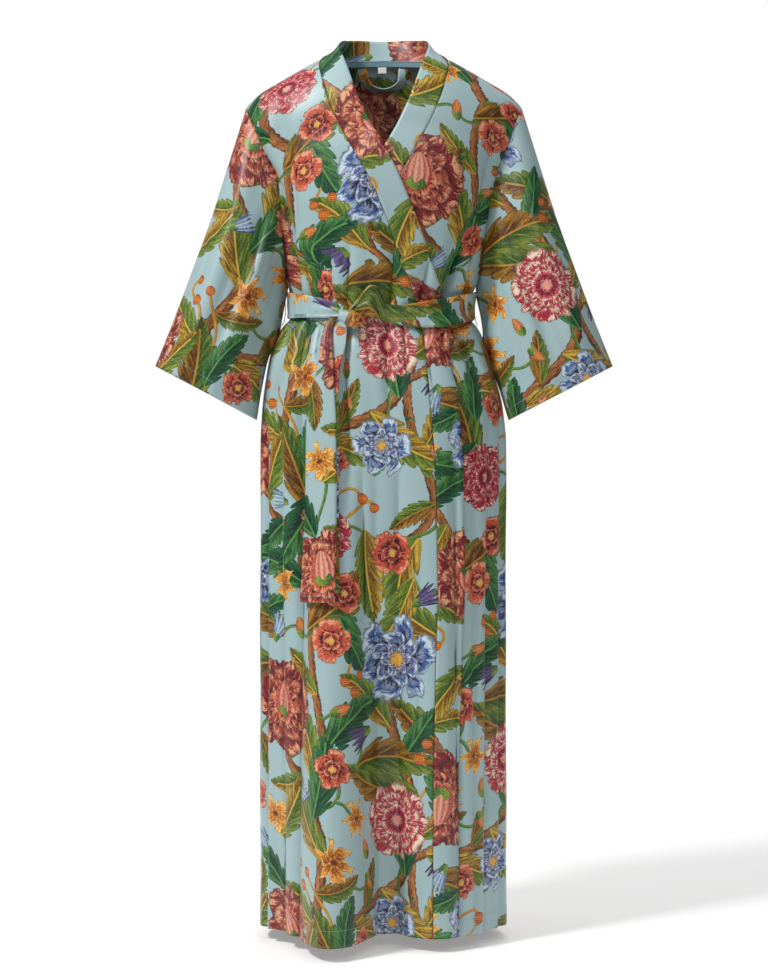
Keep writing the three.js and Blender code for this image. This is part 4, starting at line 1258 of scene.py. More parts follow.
@dataclass(frozen=True)
class LeafLook:
    """Colours of one kind of leaf: shaded and lit, on the side before and behind the rib."""

    near_dark: Colour
    near_light: Colour
    far_dark: Colour
    far_light: Colour


def hues(*codes: str) -> tuple[Colour, ...]:
    """Scene-linear colours of several screen colours."""
    return tuple(hex_colour(code) for code in codes)


BLOOM_LOOKS = (
    BloomLook(7, 0.19, 0.60, 0.74, 0.0, *hues("86262a", "cf6448", "e8aa80", "3c0e18", "c8493c")),
    BloomLook(9, 0.13, 0.45, 0.76, 0.0, *hues("b22c40", "c8485a", "f3dfc2", "6c1228", "e39a86")),
    BloomLook(6, 0.42, 0.55, 0.62, 0.42, *hues("33538f", "4b2f63", "c9dbe6", "231b40", "dfa63a")),
    BloomLook(6, 0.56, 0.30, 0.30, 0.0, *hues("d98a2c", "9a3f1e", "f2cf78", "7d3c16", "6a2a18")),
    BloomLook(4, 0.30, 0.55, 0.46, 0.0, *hues("c24f3a", "4f1622", "eba178", "4a121c", "e7b04c")),
)
POD_LOOKS = (
    PodLook(0.78, 0.0, 0.26, *hues("a02c34", "ecab8c")),
    PodLook(0.95, 1.0, 0.26, *hues("2c1f3f", "6f5f90")),
    PodLook(0.50, 0.0, 0.42, *hues("9c3a22", "e39a54")),
    PodLook(0.95, 0.0, 0.02, *hues("8a3018", "e0862f")),
    PodLook(0.85, 1.0, 0.30, *hues("2b4a80", "b9d0de")),
)
LEAF_LOOKS = (
    LeafLook(*hues("6e4a14", "d8b240", "3c5a20", "94a038")),
    LeafLook(*hues("174a2c", "5f9a4c", "0f3424", "2f7040")),
    LeafLook(*hues("54300f", "b8862c", "2c4c1c", "8a9636")),
)
STEM_LIGHT = hues("c58148", "7fa045", "e2b23c")
STEM_DARK = hues("54290f", "2c5a2a", "9a5f1e")
CUP_LIGHT, CUP_DARK = hues("93a83c", "2c5c2c")


@dataclass(frozen=True)
class PrintedSatin:
    """The robe's satin, printed all over with flowers, leaves and branches in a stitched manner."""

    ground: Colour = hex_colour("a9c2c4")
    ground_shade: Colour = hex_colour("9bb6b9")
    roughness: float = 0.42
    weave_pitch: float = 0.0009

    def material(self) -> bpy.types.Material:
        """Builds the material."""
        maker = Nodes("printed_satin")
        flat = maker.attribute("flat")
        s, t, _ = maker.split(flat)
        cloud = maker.noise(flat, 14.0)
        stipple = maker.noise(flat, 900.0, 1.0)
        fleck = maker.noise(flat, 330.0, 2.0)
        colour = maker.blend(self.ground, self.ground_shade, cloud)
        colour = self._stem(maker, colour, "branch")
        colour = self._stem(maker, colour, "twig")
        colour = self._leaf(maker, colour, "leaf", fleck)
        colour = self._leaf(maker, colour, "foliage", fleck)
        colour = self._bloom(maker, colour, fleck)
        colour = self._pod(maker, colour, fleck)
        worn = maker.blend(colour, (0.05, 0.06, 0.06), (stipple - 0.5).kept() * 0.3)
        twill = ((s * 2.0 + t) * (2 * math.pi / self.weave_pitch)).sine() * 0.5 + 0.5
        height = twill * 0.5 + stipple * 0.5
        bump = maker.node("ShaderNodeBump", None, {"Strength": 0.12, "Distance": 0.0002, "Height": height})
        shader = maker.node("ShaderNodeBsdfPrincipled", None, {
            "Base Color": worn,
            "Roughness": self.roughness + (fleck - 0.5) * 0.08,
            "Normal": bump.outputs[0],
            "Specular IOR Level": 0.45,
            "Sheen Weight": 0.1,
            "Sheen Roughness": 0.4,
        })
        maker.node("ShaderNodeOutputMaterial", None, {0: shader.outputs[0]})
        return maker.material

    def _stem(self, maker: Nodes, under: bpy.types.NodeSocket, layer: str) -> bpy.types.NodeSocket:
        """Draws the stems of a layer over a colour."""
        along, across, kind = maker.split(maker.attribute(layer))
        bark = maker.noise(maker.join(along * 1.3, across * 1.1, kind), 1.5)
        wide = abs(across) + (bark - 0.5) * 0.9
        streak = maker.noise(maker.join(along * 0.55, across * 3.6, kind), 2.4, 1.0)
        lit = (across * 0.4 + 0.45 + (streak - 0.5) * 2.6).kept()
        dark, light = maker.pick(kind, STEM_DARK), maker.pick(kind, STEM_LIGHT)
        body = maker.blend(dark, light, lit)
        body = maker.blend(body, dark, wide.rise(0.62, 0.95) * 0.85)
        return maker.blend(under, body, wide.below(1.0) * kind.above(0.5))

    def _leaf(self, maker: Nodes, under: bpy.types.NodeSocket, layer: str,
              fleck: Value) -> bpy.types.NodeSocket:
        """Draws the leaves of a layer over a colour."""
        x, y, code = maker.split(maker.attribute(layer))
        kind, tone = code.floor(), code.fraction()
        along = x * 0.5 + 0.5
        side = y + (x * x - 0.4) * (tone - 0.45) * 0.7
        out = abs(side)
        lobes = along * 6.0 - out * 5.5 + side.above(0.0) * 0.5
        lobe = lobes.fraction()
        bulge = (lobe * (1.0 - lobe) * 4.0).kept() ** 0.55
        half = ((along * (1.0 - along) * 4.0).kept() ** 0.7) * (0.47 - along * 0.17) * (bulge * 0.34 + 0.66)
        share = out / half.most(0.001)
        streak = maker.noise(maker.join(lobes * 2.6, out * 4.0, code * 5.0), 1.5, 2.0)
        fade = (share * 0.75 + bulge * 0.3 - 0.28 + (streak - 0.5) * 2.4 + (fleck - 0.5) * 1.2).kept()
        looks = ("near_dark", "near_light", "far_dark", "far_light")
        hue = {name: maker.pick(kind, [getattr(look, name) for look in LEAF_LOOKS]) for name in looks}
        near = maker.blend(hue["near_dark"], hue["near_light"], fade)
        far = maker.blend(hue["far_dark"], hue["far_light"], fade)
        body = maker.blend(near, far, side.below(0.0))
        rib = out.below(0.02) * along.below(0.86)
        body = maker.blend(body, hue["near_light"], rib * 0.9)
        line = share.rise(0.84, 0.97).most(lobe.below(0.1) * share.above(0.35))
        body = maker.blend(body, hue["far_dark"], line * 0.7)
        return maker.blend(under, body, share.below(1.0) * along.above(0.0) * along.below(1.0))

    def _bloom(self, maker: Nodes, under: bpy.types.NodeSocket, fleck: Value) -> bpy.types.NodeSocket:
        """Draws the flowers over a colour, ring by ring of petals from the outside in."""
        x, y, code = maker.split(maker.attribute("bloom"))
        kind, tone = code.floor(), code.fraction()
        shape = [(look.petals / 16, look.cut, look.blunt) for look in BLOOM_LOOKS]
        petals, cut, blunt = maker.split(maker.pick(kind, shape))
        sizes = maker.pick(kind, [(look.shrink, look.band, 0.0) for look in BLOOM_LOOKS])
        shrink, band, _ = maker.split(sizes)
        hue = {name: maker.pick(kind, [getattr(look, name) for look in BLOOM_LOOKS])
               for name in ("back", "petal", "rim", "root", "heart")}
        petals = (petals * 16.0 + 0.5).floor()
        radius = (x * x + y * y).root()
        turn = y.angle(x) / (2 * math.pi) + 0.5
        warp = maker.noise(maker.join(x, y, code * 7.3), 1.7, 1.0) - 0.5
        curl = maker.noise(maker.join(x, y, code * 3.1), 8.0, 2.0) - 0.5
        body: bpy.types.NodeSocket = under
        size: Value | float = 1.0
        for ring in range(4):
            phase = turn * petals + warp * 1.4 + 0.5 * ring
            place = phase.fraction()
            across = abs(place - 0.5) * 2.0
            rim = (1.0 - (across ** (blunt * 4.0)) * cut + curl * 0.24) * size
            share = radius / rim.most(0.01)
            root = shrink * 0.8
            within = ((share - root) / (1.0 - root)).kept()
            streak = maker.noise(maker.join(place * 6.0, radius * 1.8, float(ring) * 3.7), 1.6, 1.0)
            fade = (within * 1.15 - across * 0.35 + (streak - 0.5) * 2.2 + (fleck - 0.5) * 1.3
                    + (tone - 0.5) * 0.4)
            skin = maker.blend(hue["back"], hue["petal"], ring / 3)
            shade = maker.blend(hue["root"], skin, fade.rise(-0.1, 0.42))
            shade = maker.blend(shade, hue["rim"], fade.rise(0.55, 1.05))
            bands = ((within * 8.0 + across * 1.6).sine() * 0.5 + 0.5) * band
            shade = maker.blend(shade, hue["rim"], bands * fade.rise(-0.2, 0.5))
            shade = maker.blend(shade, hue["root"], share.rise(0.9, 0.985) * 0.7)
            body = maker.blend(body, shade, share.below(1.0))
            size = shrink * size
        core = 1.0 - (radius + (fleck - 0.5) * 0.3).rise(0.10, 0.18)
        return maker.blend(body, hue["heart"], core)

    def _pod(self, maker: Nodes, under: bpy.types.NodeSocket, fleck: Value) -> bpy.types.NodeSocket:
        """Draws the buds, bells and fruit over a colour."""
        x, y, code = maker.split(maker.attribute("sprig"))
        kind = code.floor()
        shape = [(look.breadth, look.flare, look.cup) for look in POD_LOOKS]
        breadth, flare, cup = maker.split(maker.pick(kind, shape))
        dark = maker.pick(kind, [look.dark for look in POD_LOOKS])
        light = maker.pick(kind, [look.light for look in POD_LOOKS])
        along = x * 0.5 + 0.5
        closed = ((along * (1.0 - along) * 4.0).kept() ** 0.55) * (1.12 - along * 0.3)
        opened = 0.2 + along * 0.8
        half = breadth * (closed + (opened - closed) * flare)
        place = y / half.most(0.01)
        share = abs(place)
        tips = 1.0 - flare * (1.0 - abs((place * 7.85).sine())) * 0.34
        stripes = (place * 15.0 + (fleck - 0.5) * 4.0).sine() * 0.5 + 0.5
        fade = (stripes * 0.6 + (1.0 - share) * 0.5 + (fleck - 0.5) * 1.2 - 0.05).kept()
        body = maker.blend(dark, light, fade)
        green = maker.blend(CUP_DARK, CUP_LIGHT, (place * 0.5 + 0.4 + (fleck - 0.5) * 1.6).kept())
        body = maker.blend(body, green, (along + (place * 7.0).cosine() * 0.07).below(cup))
        body = maker.blend(body, dark, share.rise(0.8, 0.96) * 0.8)
        mask = share.below(1.0) * along.above(0.0) * along.below(tips) * kind.above(0.5)
        return maker.blend(under, body, mask)


@dataclass(frozen=True)
class PlainCloth:
    """A narrow woven cloth of one colour, such as the neck tape, the label or thread."""

    name: str
    colour: Colour
    shade: Colour
    rib: float
    roughness: float = 0.6

    def material(self) -> bpy.types.Material:
        """Builds the material, ribbed across its length."""
        maker = Nodes(self.name)
        place = maker.node("ShaderNodeTexCoord").outputs["Object"]
        x, _, z = maker.split(place)
        grain = maker.noise(place, 700.0)
        rib = ((x + z * 0.3) * (2 * math.pi / self.rib)).sine() * 0.5 + 0.5
        colour = maker.blend(self.colour, self.shade, (rib * 0.35 + grain * 0.5).kept())
        bump = maker.node("ShaderNodeBump", None, {"Strength": 0.3, "Distance": 0.0002,
                                                    "Height": rib * 0.6 + grain * 0.4})
        shader = maker.node("ShaderNodeBsdfPrincipled", None, {
            "Base Color": colour,
            "Roughness": self.roughness + (grain - 0.5) * 0.1,
            "Normal": bump.outputs[0],
        })
        maker.node("ShaderNodeOutputMaterial", None, {0: shader.outputs[0]})
        return maker.material


class Slot(Enum):
    """Material slots of the record."""

    CLOTH = "robe_cloth"
    TAPE = "neck_tape"
    LABEL = "label"
    THREAD = "thread"


class Finishes:
    """The robe's materials, each made once."""

    def __init__(self) -> None:
        """Builds every material."""
        def plain(name: str, colour: str, shade: str, rib: float) -> bpy.types.Material:
            return PlainCloth(name, hex_colour(colour), hex_colour(shade), rib).material()

        self.by_slot = {
            Slot.CLOTH: PrintedSatin().material(),
            Slot.TAPE: plain("neck_tape_weave", "7ba0ad", "5d8494", 0.0012),
            Slot.LABEL: plain("label_weave", "e9e7df", "d8d6cc", 0.0008),
            Slot.THREAD: plain("loop_thread", "71898c", "4f6467", 0.0009),
        }
        self.stitch = plain("sewing_thread", "a3bdc2", "86a2a8", 0.0006)

    def dress(self, piece: bpy.types.Object, slot: Slot) -> bpy.types.Object:
        """Gives a piece the material of a slot."""
        piece.data.materials.clear()
        piece.data.materials.append(self.by_slot[slot])
        return piece


# ---- Sewing -----------------------------------------------------------------------------------
@dataclass
class Sewing:
    """Lines of stitches, laid along paths by Geometry Nodes."""

    pitch: float = 0.0034
    length: float = 0.0024
    thread: float = 0.00028

    def tree(self, material: bpy.types.Material) -> bpy.types.NodeTree:
        """Builds the tree that turns each path into a row of stitches."""
        tree = bpy.data.node_groups.new("Row of stitches", "GeometryNodeTree")
        face = tree.interface
        face.new_socket("Geometry", in_out="INPUT", socket_type="NodeSocketGeometry")
        for name in ("Stitch pitch", "Stitch length", "Thread radius"):
            face.new_socket(name, in_out="INPUT", socket_type="NodeSocketFloat")
        face.new_socket("Geometry", in_out="OUTPUT", socket_type="NodeSocketGeometry")
        make = tree.nodes.new
        link = tree.links.new
        start, end = make("NodeGroupInput"), make("NodeGroupOutput")
        curve = make("GeometryNodeMeshToCurve")
        resample = make("GeometryNodeResampleCurve")
        resample.mode = "LENGTH"
        tangent = make("GeometryNodeInputTangent")
        align = make("FunctionNodeAlignRotationToVector")
        align.axis = "Z"
        stitch = make("GeometryNodeMeshCylinder")
        stitch.inputs["Vertices"].default_value = 6
        place = make("GeometryNodeInstanceOnPoints")
        real = make("GeometryNodeRealizeInstances")
        dress = make("GeometryNodeSetMaterial")
        dress.inputs["Material"].default_value = material
        link(start.outputs["Geometry"], curve.inputs[0])
        link(curve.outputs[0], resample.inputs["Curve"])
        link(start.outputs["Stitch pitch"], resample.inputs["Length"])
        link(start.outputs["Stitch length"], stitch.inputs["Depth"])
        link(start.outputs["Thread radius"], stitch.inputs["Radius"])
        link(resample.outputs[0], place.inputs["Points"])
        link(stitch.outputs["Mesh"], place.inputs["Instance"])
        link(tangent.outputs[0], align.inputs["Vector"])
        link(align.outputs[0], place.inputs["Rotation"])
        link(place.outputs[0], real.inputs[0])
        link(real.outputs[0], dress.inputs["Geometry"])
        link(dress.outputs[0], end.inputs[0])
        return tree

    def sew(self, name: str, paths: Sequence[Array], material: bpy.types.Material) -> bpy.types.Object:
        """Makes the stitches of several paths as one plain mesh.

        Args:
            name: the object's name.
            paths: points of each path, in metres.
            material: the thread's material.

        Returns:
            The mesh object, at the origin.
        """
        points = np.concatenate(paths)
        edges, first = [], 0
        for path in paths:
            edges += [(first + i, first + i + 1) for i in range(len(path) - 1)]
            first += len(path)
        guide = bpy.data.meshes.new(name + "_guide")
        guide.from_pydata([tuple(map(float, p)) for p in points], edges, [])
        piece = bpy.data.objects.new(name, guide)
        bpy.context.scene.collection.objects.link(piece)
        tree = self.tree(material)
        modifier = piece.modifiers.new("Stitches", "NODES")
        modifier.node_group = tree
        sizes = {"Stitch pitch": self.pitch, "Stitch length": self.length, "Thread radius": self.thread}
        for item in tree.interface.items_tree:
            if item.item_type == "SOCKET" and item.in_out == "INPUT" and item.name in sizes:
                modifier[item.identifier] = sizes[item.name]
        graph = bpy.context.evaluated_depsgraph_get()
        mesh = bpy.data.meshes.new_from_object(piece.evaluated_get(graph), depsgraph=graph)
        piece.modifiers.clear()
        piece.data = mesh
        piece.data.name = name
        bpy.data.meshes.remove(guide)
        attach(piece, BODY)
        return piece


def line_on(wall: Wall, u: Array | float, v: Array | float, proud: float = 0.15) -> Array:
    """A path on a wall's outer face, in metres, a little proud of it."""
    u, v = np.broadcast_arrays(np.asarray(u, float), np.asarray(v, float))
    lift = (wall.low(u, v) + wall.thick + proud)[..., None]
    return (wall.surface(u, v) + wall.normals(u, v) * lift) * MM


def spaced(low: float, high: float, spacing: float) -> Array:
    """Even steps from low to high, about the spacing apart."""
    return np.linspace(low, high, max(2, int(round(abs(high - low) / spacing)) + 1))


# ---- Pieces -----------------------------------------------------------------------------------
@dataclass
class ClothPiece:
    """One cut piece of cloth, which stands for a node of the frame."""

    node: str
    wall: Wall
    shift: tuple[float, float]
    turn: float = 0.0
    rests_on: tuple[str, ...] = ()
    held: str = "hung"
    piece: bpy.types.Object | None = None

    def make(self, finishes: Finishes) -> bpy.types.Object:
        self.piece = self.wall.build("robe_" + self.node, self.shift, self.turn)
        finishes.dress(self.piece, Slot.CLOTH)
        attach(self.piece, BODY)
        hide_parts(self.node)
        width, length = self.wall.flat_size
        list(self.rests_on)
        faces = len(self.piece.data.polygons)
        log.info("%s: %d faces, cut %.2f x %.2f m", self.piece.name, faces, width, length)
        return self.piece


@dataclass
class Bodice:
    """The two fronts, the back and the sleeves."""

    cuff: Cuff = field(default_factory=Cuff)
    slant: tuple[float, float] = (0.46, 0.89)  # how far a sleeve leans out and down

    def rows(self) -> Array:
        """Lengths down the cloth at which the panels have rows."""
        return np.concatenate([[SEAM_GAP], spaced(GRID, HEM_DOWN, GRID)])

    def front(self, upper: bool) -> Wall:
        """A front from its side seam and armhole to its band. upper is the one that laps over."""
        side = -1 if upper else 1

        def surface(u: Array, down: Array) -> Array:
            edge = side * np.minimum(SECTIONS.at("armhole", down), 89.9)
            seam = -side * CLOTH_BODY.angle_at(BAND_SEAM.at("across", down), down)
            return CLOTH_BODY.point(mix(edge, seam, u), down)

        def lift(u: Array, down: Array) -> Array:
            if not upper:
                return np.zeros(np.broadcast(u, down).shape)
            return CLOTH_BODY.lap(surface(u, down)[..., 0], down)

        return Wall(surface, np.linspace(0, 1, 124), self.rows(), lift, turned=side, step=(0.002, 0.5),
                    middle=1.0)

    def back(self) -> Wall:
        """The back in one piece, with its neckline scooped out."""

        def surface(share: Array, down: Array) -> Array:
            settle = 1 - smooth(down / 260)
            return CLOTH_BODY.back(share, down + back_neck_down(share) * settle)

        quarter = NECK_SHARE * np.sin(np.linspace(0, np.pi / 2, 28))
        half = np.concatenate([quarter, np.linspace(NECK_SHARE, 1, 52)[1:]])
        shares = np.concatenate([-half[:0:-1], half])
        flat = lambda share, down: np.zeros(np.broadcast(share, down).shape)
        return Wall(surface, shares, self.rows(), flat, turned=-1, step=(0.0015, 0.5))

    def armhole(self, side: int, turn: Array) -> Array:
        """Points of an armhole. turn is 0 at the shoulder, 90 in front and 180 under the arm."""
        front = turn <= 180
        down = UNDERARM_DOWN * np.where(front, turn, 360 - turn) / 180
        edge = SECTIONS.at("armhole", down)
        return CLOTH_BODY.point(side * np.where(front, edge, 180 - edge), down)

    def sleeve_point(self, side: int, turn: Array, along: Array) -> Array:
        """Points of a sleeve. along is 0 at the armhole and 1 at the cuff."""
        turn, along = np.broadcast_arrays(np.asarray(turn, float) % 360, np.asarray(along, float))
        c, s = cos_deg(turn), sin_deg(turn)
        cuff = self.cuff
        clear = 0.5 + 0.2 * (1 - c) + 1.2 * bell(turn_between(turn, 180) / 40)
        start = self.armhole(side, turn)
        start = start + np.stack([side * clear, 0 * clear, 0 * clear], axis=-1)
        end = np.stack([
            side * (cuff.out + c * cuff.half * cuff.slope_out),
            -cuff.forward - s * cuff.depth,
            -cuff.low + c * cuff.half * cuff.slope_up,
        ], axis=-1)
        point = mix(start, end, along[..., None])
        lapped = bell(turn_between(turn, SLEEVE_LAP[0]) / SLEEVE_LAP[1])
        inward = SLEEVE_BOW.at("right" if side < 0 else "left", along) * (0.5 - 0.5 * c) ** 2
        inward = inward + SLEEVE_BOW.at("lap", along) * lapped
        over = SLEEVE_BOW.at("over", along) * (0.5 + 0.5 * c) ** 2
        full = SLEEVE_BOW.at("round", along) * s * np.abs(s)
        fold = np.zeros(turn.shape)
        for row in SLEEVE_FOLDS:
            middle = mix(row.armhole, row.cuff, along)
            come = smooth((along - row.start) / 0.2)
            go = 1 - 0.6 * smooth((along - row.end + 0.25) / 0.25)
            fold += row.depth * come * go * bell(turn_between(turn, middle) / row.breadth)
        moved = np.stack([
            -side * (inward + over) + side * fold * c * cuff.slope_out * 0.5,
            -full - fold * s,
            fold * c * cuff.slope_up * 0.5,
        ], axis=-1)
        return point + moved

    def sleeve(self, side: int) -> Wall:
        """A sleeve, open at the armhole and the cuff."""
        flat = lambda turn, along: np.zeros(np.broadcast(turn, along).shape)
        return Wall(lambda turn, along: self.sleeve_point(side, turn, along), np.linspace(0, 360, 109),
                    np.linspace(0.001, 1, 98), flat, turned=side, round=True, step=(0.5, 0.002), middle=90.0,
                    axis=(side * self.slant[0], 0.0, -self.slant[1]))

    def pieces(self) -> list[ClothPiece]:
        """The cut pieces, each from its own place on the printed cloth."""
        return [
            ClothPiece("front_right", self.front(True), (0.30, 0.17), rests_on=("robe_front_left",)),
            ClothPiece("front_left", self.front(False), (0.64, 0.44)),
            ClothPiece("back", self.back(), (1.10, 0.31)),
            ClothPiece("sleeve_right", self.sleeve(-1), (0.17, 0.52)),
            ClothPiece("sleeve_left", self.sleeve(1), (0.86, 0.22)),
        ]


@dataclass
class Collar:
    """The collar band in one strip, from hem to hem round the neck."""

    rounding: float = 9.0  # rows over which the band turns from the front to the nape

    def stations(self) -> tuple[Array, Array, Array]:
        """Side, length down and share round the back neck of each row of the band."""
        down = np.concatenate([spaced(HEM_DOWN, 160, 4.6), spaced(160, 28, 3.2)[1:]])
        share = np.sin(np.linspace(np.radians(72), 0, 26)) * NECK_SHARE
        side = np.concatenate([-np.ones(len(down) + len(share)), np.ones(len(down) + len(share) - 1)])
        downs = np.concatenate([down, np.full(len(share), np.nan)])
        shares = np.concatenate([np.full(len(down), np.nan), share])
        return side, np.concatenate([downs, downs[:-1][::-1]]), np.concatenate([shares, shares[:-1][::-1]])

    def at_back(self, w: Array, side: Array, share: Array) -> Array:
        """Points of the band round the back neck, where it stands up."""
        down = np.maximum(back_neck_down(share) - SEAM_GAP, 0)
        seam = CLOTH_BODY.back(side * share, down)
        round_ = share / NECK_SHARE
        up = np.stack([-side * 0.6 * round_ ** 2, 0.38 * (1 - round_), np.full(share.shape, 0.92)], axis=-1)
        up /= np.linalg.norm(up, axis=-1, keepdims=True)
        shift = np.stack([-side * CLOTH * round_, np.full(share.shape, -CLOTH * 1.2), 0 * share], axis=-1)
        return seam + up * (0.4 + w * BAND_WIDTH)[..., None] + shift

    def at_front(self, w: Array, side: Array, down: Array) -> Array:
        """Points of the band on a front, which turns up to stand round the neck."""
        upper = side < 0
        stand = 1 - smooth((down - 20) / 95)
        ahead = BAND_SEAM.at("across", down + 4) - BAND_SEAM.at("across", down - 4)
        length = np.hypot(ahead, 8)
        across = BAND_SEAM.at("across", down)
        gap = 0.5 + stand * CLOTH
        reach = gap + w * BAND_WIDTH
        place = across + reach * 8 / length
        lower = np.clip(down - reach * ahead / length, 0, HEM_DOWN)
        turn = np.where(upper, 1, -1)
        flat = CLOTH_BODY.point(turn * CLOTH_BODY.angle_at(place, lower), lower)
        root = CLOTH_BODY.point(turn * CLOTH_BODY.angle_at(across + gap, down), down)
        up = np.stack([-side * 0.62, 0 * side + 0.02, 0 * side + 0.78], axis=-1)
        up /= np.linalg.norm(up, axis=-1, keepdims=True)
        return mix(flat, root + up * (w * BAND_WIDTH)[..., None], stand[..., None])

    def wall(self) -> Wall:
        """The band's wall. u is the share of its width and v its row."""
        side, down, share = self.stations()
        count = len(side)

        def row(w: Array, i: Array) -> Array:
            at_back = ~np.isnan(share[i])
            front = self.at_front(w, side[i], np.where(at_back, 100.0, np.nan_to_num(down[i], nan=100.0)))
            back = self.at_back(w, side[i], np.where(at_back, np.nan_to_num(share[i]), 0.1))
            return np.where(at_back[..., None], back, front)

        turns = np.flatnonzero(np.diff(np.isnan(share))) + 0.5

        def strung(w: Array, v: Array) -> Array:
            i = np.clip(np.floor(v).astype(int), 0, count - 2)
            return mix(row(w, i), row(w, i + 1), (v - i)[..., None])

        def surface(w: Array, v: Array) -> Array:
            w, v = np.broadcast_arrays(np.asarray(w, float), np.asarray(v, float))
            near = sum(bell((v - turn) / (2.2 * self.rounding)) for turn in turns)
            spread = self.rounding * near * smooth(w * 1.5)
            offsets = np.linspace(-1, 1, 5)
            eased = sum(strung(w, np.clip(v + offset * spread, 0, count - 1.001)) for offset in offsets)
            return eased / len(offsets)

        def lift(w: Array, v: Array) -> Array:
            w, v = np.broadcast_arrays(np.asarray(w, float), np.asarray(v, float))
            i = np.clip(np.round(v).astype(int), 0, count - 1)
            raised = CLOTH_BODY.lap(surface(w, v)[..., 0], np.nan_to_num(down[i], nan=0.0))
            return np.where((side[i] < 0) & np.isnan(share[i]), raised, 0.0)

        return Wall(surface, np.linspace(0, 1, 11), np.arange(count, dtype=float), lift,
                    step=(0.03, 0.3), middle=0.5, strip=True)

    def pieces(self) -> list[ClothPiece]:
        """The band as one cut piece."""
        return [ClothPiece("collar_band", self.wall(), (0.11, 0.05),
                           rests_on=("robe_front_right", "robe_front_left"))]


@dataclass
class SashTie:
    """The sash: round the waist, its knot and its two hanging ends."""

    knot_centre: tuple[float, float, float] = (-47.0, -16.0, -394.0)
    knot_half: tuple[float, float, float] = (20.0, 9.5, 12.0)
    knot_tilt: float = 17.0

    def bed(self, psi: Array) -> Array:
        """How far the sash lies from the body cloth."""
        across = CLOTH_BODY.point(psi, np.full(np.shape(psi), WAIST_DOWN), 0)[..., 0]
        in_front = smooth((cos_deg(psi) + 0.05) / 0.1)
        above, below = (CLOTH_BODY.lap(across, WAIST_DOWN + d) for d in (-20, 20))
        return CLOTH + 1.5 + in_front * np.maximum(above, below)

    def waist(self) -> Wall:
        """The strip round the waist, from the end over the knot to the end under it."""

        def surface(w: Array, psi: Array) -> Array:
            down = mix(SASH.at("top", psi), SASH.at("bottom", psi), w)
            return CLOTH_BODY.point(psi, down, 0)

        def lift(w: Array, psi: Array) -> Array:
            tied = bell((psi + 12) / 30) + bell((psi - 342) / 20)
            pucker = 0.6 * np.sin(psi * 0.9 + w * 2.0) * np.sin(w * np.pi * 2.0 + psi * 0.2)
            pucker = pucker + 1.5 * tied * np.sin(w * 15.0 + 0.06 * psi + np.sin(psi * 0.11))
            rolled = 1.1 * (1 - (2 * w - 1) ** 2)
            inner = smooth((0.5 - np.abs(w - 0.5)) * 5)
            return self.bed(psi) + SASH.at("stand", psi) + rolled + pucker * inner

        rows = np.concatenate([np.linspace(-20, 30, 70), np.linspace(30, 300, 190)[1:],
                               np.linspace(300, 342, 36)[1:]])
        return Wall(surface, np.linspace(0, 1, 13), rows, lift, thick=SASH_CLOTH, turned=1, step=(0.02, 0.3),
                    strip=True)

    def end(self, name: str, behind: float, shorter: float) -> Wall:
        """A hanging end of the sash, in front or behind."""

        def surface(w: Array, down: Array) -> Array:
            across = SASH_ENDS.at(name, down) + w * SASH_ENDS.at(name + "Width", down)
            return CLOTH_BODY.front(across, down, 0)

        def lift(w: Array, down: Array) -> Array:
            fold = 1.6 * bell((w - 0.12) / 0.14) * (1 - smooth((down - 470) / 130))
            curl = 0.5 * np.sin(down / 37.0 + 2 * w)
            return LAP + SASH_ENDS.at("stand", down) - behind + (fold + curl * 0.6) * (behind == 0)

        return Wall(surface, np.linspace(-0.5, 0.5, 13), spaced(440, 851 - shorter, 3.8), lift,
                    thick=SASH_CLOTH, turned=-1, step=(0.01, 0.5), strip=True)

    def knot(self, finishes: Finishes) -> bpy.types.Object:
        """The knot, as turns of the strip wound tightly round each other."""
        rings, sides = 48, 64
        waist = CLOTH_BODY.front(np.array(-40.0), np.array(WAIST_DOWN), 0)[1]
        depth = waist - LAP - CLOTH - SASH_CLOTH
        latitude = np.linspace(-1.52, 1.52, rings)[:, None]
        longitude = np.linspace(-np.pi, np.pi, sides, endpoint=False)[None]
        cosine = np.cos(latitude) ** 0.7
        turns = 0.5 - 0.5 * np.cos(4 * latitude + 0.5 * np.sin(longitude))
        folds = 0.02 * np.sin(9 * latitude + 3 * np.sin(longitude) + 1)
        pressed = 1 - 0.16 * turns + folds
        half = self.knot_half
        x = half[0] * np.sin(latitude) + 0 * longitude
        y = -half[1] * cosine * np.cos(longitude) * pressed
        z = half[2] * cosine * np.sin(longitude) * pressed
        c, s = math.cos(math.radians(self.knot_tilt)), math.sin(math.radians(self.knot_tilt))
        points = np.stack([
            x * c + z * s + self.knot_centre[0],
            y + depth + self.knot_centre[1],
            z * c - x * s + self.knot_centre[2],
        ], axis=-1).reshape(-1, 3) * MM
        faces = tube_faces(np.arange(rings * sides).reshape(rings, sides))
        flat = np.stack([latitude * 0.026 + 0 * longitude, longitude * 0.010 + 0 * latitude], axis=-1)
        piece = make_piece("robe_sash_knot", points, faces, flat.reshape(-1, 2)[faces], (0.20, 0.33))
        finishes.dress(piece, Slot.CLOTH)
        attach(piece, BODY)
        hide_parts("sash_knot")
        return piece

    def pieces(self) -> list[ClothPiece]:
        """The flat stretches of the sash."""
        on = ("robe_front_right",)
        return [
            ClothPiece("sash_waist", self.waist(), (0.25, 0.47), 90.0,
                       rests_on=("robe_front_right", "robe_front_left", "robe_back")),
            ClothPiece("sash_end_front", self.end("front", 0.0, 0.0), (0.07, 0.60), rests_on=on),
            ClothPiece("sash_end_back", self.end("back", 3.4, 14.0), (0.33, 0.16), rests_on=on),
        ]


def level(across: Array, height: Array) -> Array:
    """The lift of a wall that lies right on its surface."""
    return np.zeros(np.broadcast(across, height).shape)


